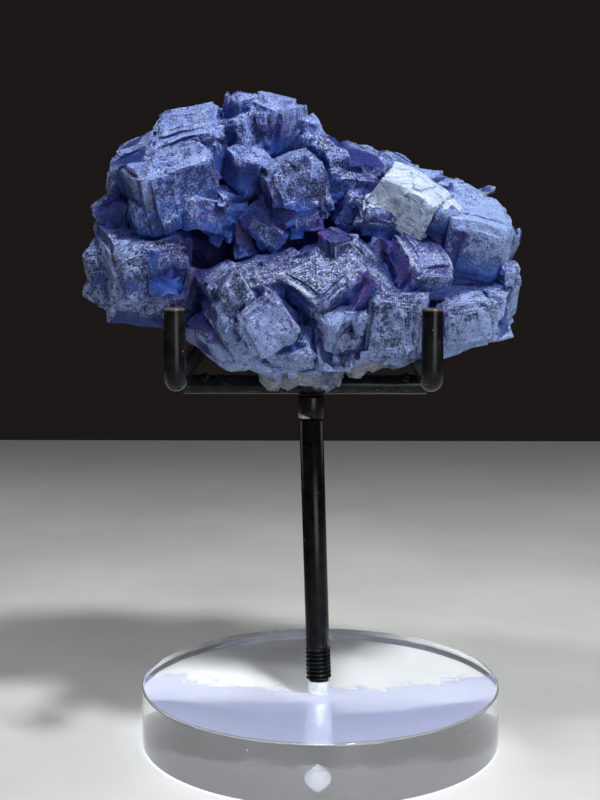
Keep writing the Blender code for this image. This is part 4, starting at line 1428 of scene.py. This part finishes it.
def make_stem():
    stem = start_piece("stem_rod", bpy.ops.mesh.primitive_cylinder_add, vertices=40, radius=SHAFT_RADIUS * MM,
                       depth=(STEM_HEAD - STEM_TIP) * MM, end_fill_type="NGON",
                       location=(0, 0, (STEM_HEAD + STEM_TIP) / 2 * MM))
    bpy.ops.object.transform_apply(location=True)
    bpy.ops.object.mode_set(mode="EDIT")
    for height in (STEM_TIP + 0.4, THREAD_FOOT - 0.05, THREAD_FOOT, THREAD_HEAD, STEM_HEAD - 0.3):
        cut_across(height)
    edge_picker(stem, lambda one, two: abs(one.z - two.z) > 1 and THREAD_FOOT - 0.01 < min(one.z, two.z) < THREAD_HEAD - 1)
    bpy.ops.mesh.subdivide(number_cuts=THREAD_ROWS)
    bpy.ops.object.mode_set(mode="OBJECT")
    for vert in stem.data.vertices:
        place = vert.co / MM
        angle = math.atan2(place.y, place.x)
        radius = stem_radius(place.z, angle)
        if place.z < STEM_TIP + 0.01 or place.z > STEM_HEAD - 0.01:
            radius -= 0.3
        lean = STEM_FOOT_X + STEM_LEAN * (place.z - DISC_HEIGHT)
        vert.co = Vector((radius * math.cos(angle) + lean, radius * math.sin(angle), place.z)) * MM
    return stem


stem = make_stem()
print("stem", len(stem.data.polygons), "faces,", open_edges(stem.data), "open edges")

# %% [markdown]
# ## The black finish
# The metal was sprayed satin black over a slightly rough rod. Up close the coat has a
# fine orange-peel texture, the odd pale speck of dust, small scratches along the prongs,
# and it is rubbed through to warm bare metal on the prongs' top rims. The welds and the
# thread are duller, because nothing rubs them.

# %% Satin black metal
BARE_METAL = (0.42, 0.30, 0.27)
CHIP_METAL = (0.30, 0.30, 0.30)
DUST = (0.45, 0.46, 0.48)


def millimetre_place(wire):
    """Where on the object a spot is, in millimetres."""
    place = wire.vector("SCALE", wire.node("ShaderNodeTexCoord", out=3))
    place.socket.node.inputs["Scale"].default_value = 1 / MM
    return place


def black_material(name, rub_height=None, chip_height=None):
    material, wire, shader = new_material(name)
    place = millimetre_place(wire)
    across, away, height = place.parts()
    peel = grain_noise(wire, place, 2.2, 2.0)
    cloud = grain_noise(wire, place, 0.35, 3.0)
    fine = grain_noise(wire, place, 7.0, 2.0, 0.7)
    speck = (1 - cells(wire, place, 1.5, out=0).step(0.05, 0.14)) * cells(wire, place, 1.5).parts()[0].step(0.72, 0.8)
    streak_place = wire.vector("MULTIPLY", place, (7.0, 7.0, 0.55))
    streak = grain_noise(wire, streak_place, 1.0, 2.0, 0.6).step(0.70, 0.78)
    colour = wire.blend((0.003, 0.003, 0.0035), (0.008, 0.008, 0.009), cloud.step(0.35, 0.7))
    colour = wire.blend(colour, DUST, (speck * 0.30 + streak * 0.04).lower(1.0))
    gloss = 0.11 + cloud * 0.12 + streak * 0.12 + speck * 0.3
    metal = 0.0
    if rub_height is not None:
        rubbed = height.step(rub_height - 0.55, rub_height - 0.15) * fine.step(0.36, 0.58)
        colour = wire.blend(colour, BARE_METAL, rubbed * 0.5)
        metal = rubbed * 0.5
    if chip_height is not None:
        chipped = (1 - (height + across * 0.42 + fine * 0.3).step(chip_height, chip_height + 0.2)) * fine.step(0.25, 0.5)
        colour = wire.blend(colour, CHIP_METAL, chipped)
        metal = chipped * 0.5
    bump = wire.node("ShaderNodeBump", (), {"Strength": 0.5, "Distance": 0.0001,
                                            "Height": peel * 0.5 + fine * 0.22 - streak * 0.3 + speck * 0.5})
    dress(wire, shader, Base_Color=colour, Roughness=gloss, Metallic=metal, Normal=bump, Specular_IOR_Level=0.12)
    return material


def finish_piece(piece, node, material, angle=35):
    """Smooth it, give it its one material, attach it to the root body and hide its solid."""
    piece.data.materials.clear()
    piece.data.materials.append(material)
    choose(piece)
    bpy.ops.object.shade_smooth_by_angle(angle=math.radians(angle))
    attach(piece, "root")
    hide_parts(node)


rod_black = black_material("satin black rod", rub_height=PRONG_TOP)
socket_black = black_material("chipped black sleeve", chip_height=SOCKET_BOTTOM - 0.75)
plain_black = black_material("satin black bar")
for node, arm in arms.items():
    finish_piece(arm, node, rod_black)
finish_piece(crossbar, "crossbar", plain_black)
finish_piece(socket, "socket", socket_black)
finish_piece(stem, "stem", plain_black, 50)
print("black metal on", 2 + 3, "pieces")

# %% [markdown]
# ## The clear disc
# The base is a disc of clear acrylic with a blind hole drilled from the top. A solid
# this clear is all edges: the bevelled rims catch the light in two bright lines, and the
# drill's rough wall shows white through the side. The hole is made in the top face, by
# an inset down to the drill's width and an extrusion down to its cone.

# %% Turn and drill the disc
DISC_RADIUS = 38.0
HOLE_RADIUS, HOLE_DEPTH, HOLE_CONE = 2.4, 10.2, 1.1


def make_disc():
    disc = start_piece("clear_disc", bpy.ops.mesh.primitive_cylinder_add, vertices=144, radius=DISC_RADIUS * MM,
                       depth=DISC_HEIGHT * MM, end_fill_type="NGON", location=(0, 0, DISC_HEIGHT / 2 * MM))
    bpy.ops.object.transform_apply(location=True)
    bpy.ops.object.mode_set(mode="EDIT")
    edge_picker(disc, lambda one, two: abs(one.z - two.z) < 0.01)
    bpy.ops.mesh.bevel(offset=0.5 * MM, segments=3, affect="EDGES")
    face_picker(disc, lambda normal, centre: normal.z > 0.99 and centre.z > (DISC_HEIGHT - 0.01) * MM)
    bpy.ops.mesh.inset(thickness=(DISC_RADIUS - 0.5 - HOLE_RADIUS) * MM)
    bpy.ops.transform.translate(value=(STEM_FOOT_X * MM, 0, 0))
    draw_out(0, 0, -HOLE_DEPTH)
    draw_out(0, 0, -HOLE_CONE)
    bpy.ops.mesh.merge(type="CENTER")
    bpy.ops.mesh.select_all(action="SELECT")
    bpy.ops.mesh.normals_make_consistent(inside=False)
    bpy.ops.object.mode_set(mode="OBJECT")
    return disc


disc = make_disc()
print("disc", len(disc.data.polygons), "faces,", open_edges(disc.data), "open edges")

# %% [markdown]
# ## Clear acrylic
# Acrylic bends light a little less than glass does, and in a thick piece it is faintly
# cool. The faces are polished, but handling leaves hair scratches and dust, and the
# turned edge keeps fine lines round it. A faint mottled film lies on the faces, strongest
# towards the front: partly haze and partly painted light, on the top a painted lavender
# glow of the stone's blue light. The stone's shadow shows on it. Light that only passes
# through on its way to the table should not be blocked, so for shadow rays the shader is
# nearly transparent.

# %% Polished and drilled acrylic
def clear_material(name, rough, clarity, frosted=False, haze_and_painted_light=0.0, film_and_painted_light_colour=(0.6, 0.6, 0.6)):
    material, wire, shader = new_material(name)
    place = millimetre_place(wire)
    across, away, height = place.parts()
    smear = grain_noise(wire, place, 0.10, 3.0)
    dust = (1 - cells(wire, place, 1.9, out=0).step(0.03, 0.10)) * cells(wire, place, 1.9).parts()[0].step(0.60, 0.72)
    hair = grain_noise(wire, wire.vector("MULTIPLY", place, (0.35, 2.6, 1.2)), 1.0, 4.0, 0.7).step(0.67, 0.73)
    lines = grain_noise(wire, wire.vector("MULTIPLY", place, (0.05, 0.05, 5.0)), 1.0, 3.0, 0.6)
    ring_line = lines.step(0.60, 0.72) * (1 - height.step(DISC_HEIGHT - 0.6, DISC_HEIGHT - 0.3)) * height.step(0.4, 0.8)
    gloss = rough + dust * 0.35 + hair * 0.10 + ring_line * 0.10 + smear * 0.03
    bump = wire.node("ShaderNodeBump", (), {"Strength": 0.6 if frosted else 0.12, "Distance": 0.0001,
                                            "Height": dust * 0.6 + hair * 0.5 + grain_noise(wire, place, 3.0) * (1.6 if frosted else 0.0)})
    tint = wire.blend((0.82, 0.88, 1.0) if clarity < 0.9 else (0.96, 0.97, 1.0), (0.80, 0.82, 0.86), (dust * 0.8 + smear * 0.05).lower(1.0))
    dress(wire, shader, Base_Color=tint, Roughness=gloss, Normal=bump, IOR=1.49, Transmission_Weight=clarity)
    film = wire.node("ShaderNodeBsdfDiffuse", (), {"Color": film_and_painted_light_colour})
    # Strongest towards the front and the left and right ends: painted light on the disc.
    front_weighted_mottle = grain_noise(wire, place, 0.14, 4.0) * 22 + away - across * across * 0.010
    film_and_painted_light_share = (1 - front_weighted_mottle.step(1.0, 6.0)) * haze_and_painted_light + hair * 0.12 + dust * 0.3
    filmed = wire.node("ShaderNodeMixShader", (), {0: film_and_painted_light_share, 1: Wire(wire.tree, shader.outputs[0]), 2: film})
    clear = wire.node("ShaderNodeBsdfTransparent", (), {"Color": (0.94, 0.95, 0.97)})
    shadow_ray = wire.node("ShaderNodeLightPath", out=1)
    mixed = wire.node("ShaderNodeMixShader", (), {0: shadow_ray, 1: filmed, 2: clear})
    wire.feed(wire.tree.nodes["Material Output"].inputs["Surface"], mixed)
    return material


finish_piece(disc, "acrylic_base", clear_material("clear acrylic", 0.015, 0.97, haze_and_painted_light=0.12))
disc.data.materials.append(clear_material("drilled acrylic", 0.42, 0.70, frosted=True))
# The top's lavender film is partly haze and partly painted blue light from the stone.
disc.data.materials.append(clear_material("acrylic top, haze and painted glow", 0.03, 0.93, haze_and_painted_light=0.46, film_and_painted_light_colour=(0.36, 0.40, 0.68)))
for face in disc.data.polygons:
    middle = face.center / MM - Vector((STEM_FOOT_X, 0, 0))
    if middle.xy.length < HOLE_RADIUS + 0.01 and 1.0 < middle.z < DISC_HEIGHT - 0.1:
        face.material_index = 1
    elif middle.z > DISC_HEIGHT - 0.01:
        face.material_index = 2
print("faces by finish:", [sum(face.material_index == place for face in disc.data.polygons) for place in range(3)])
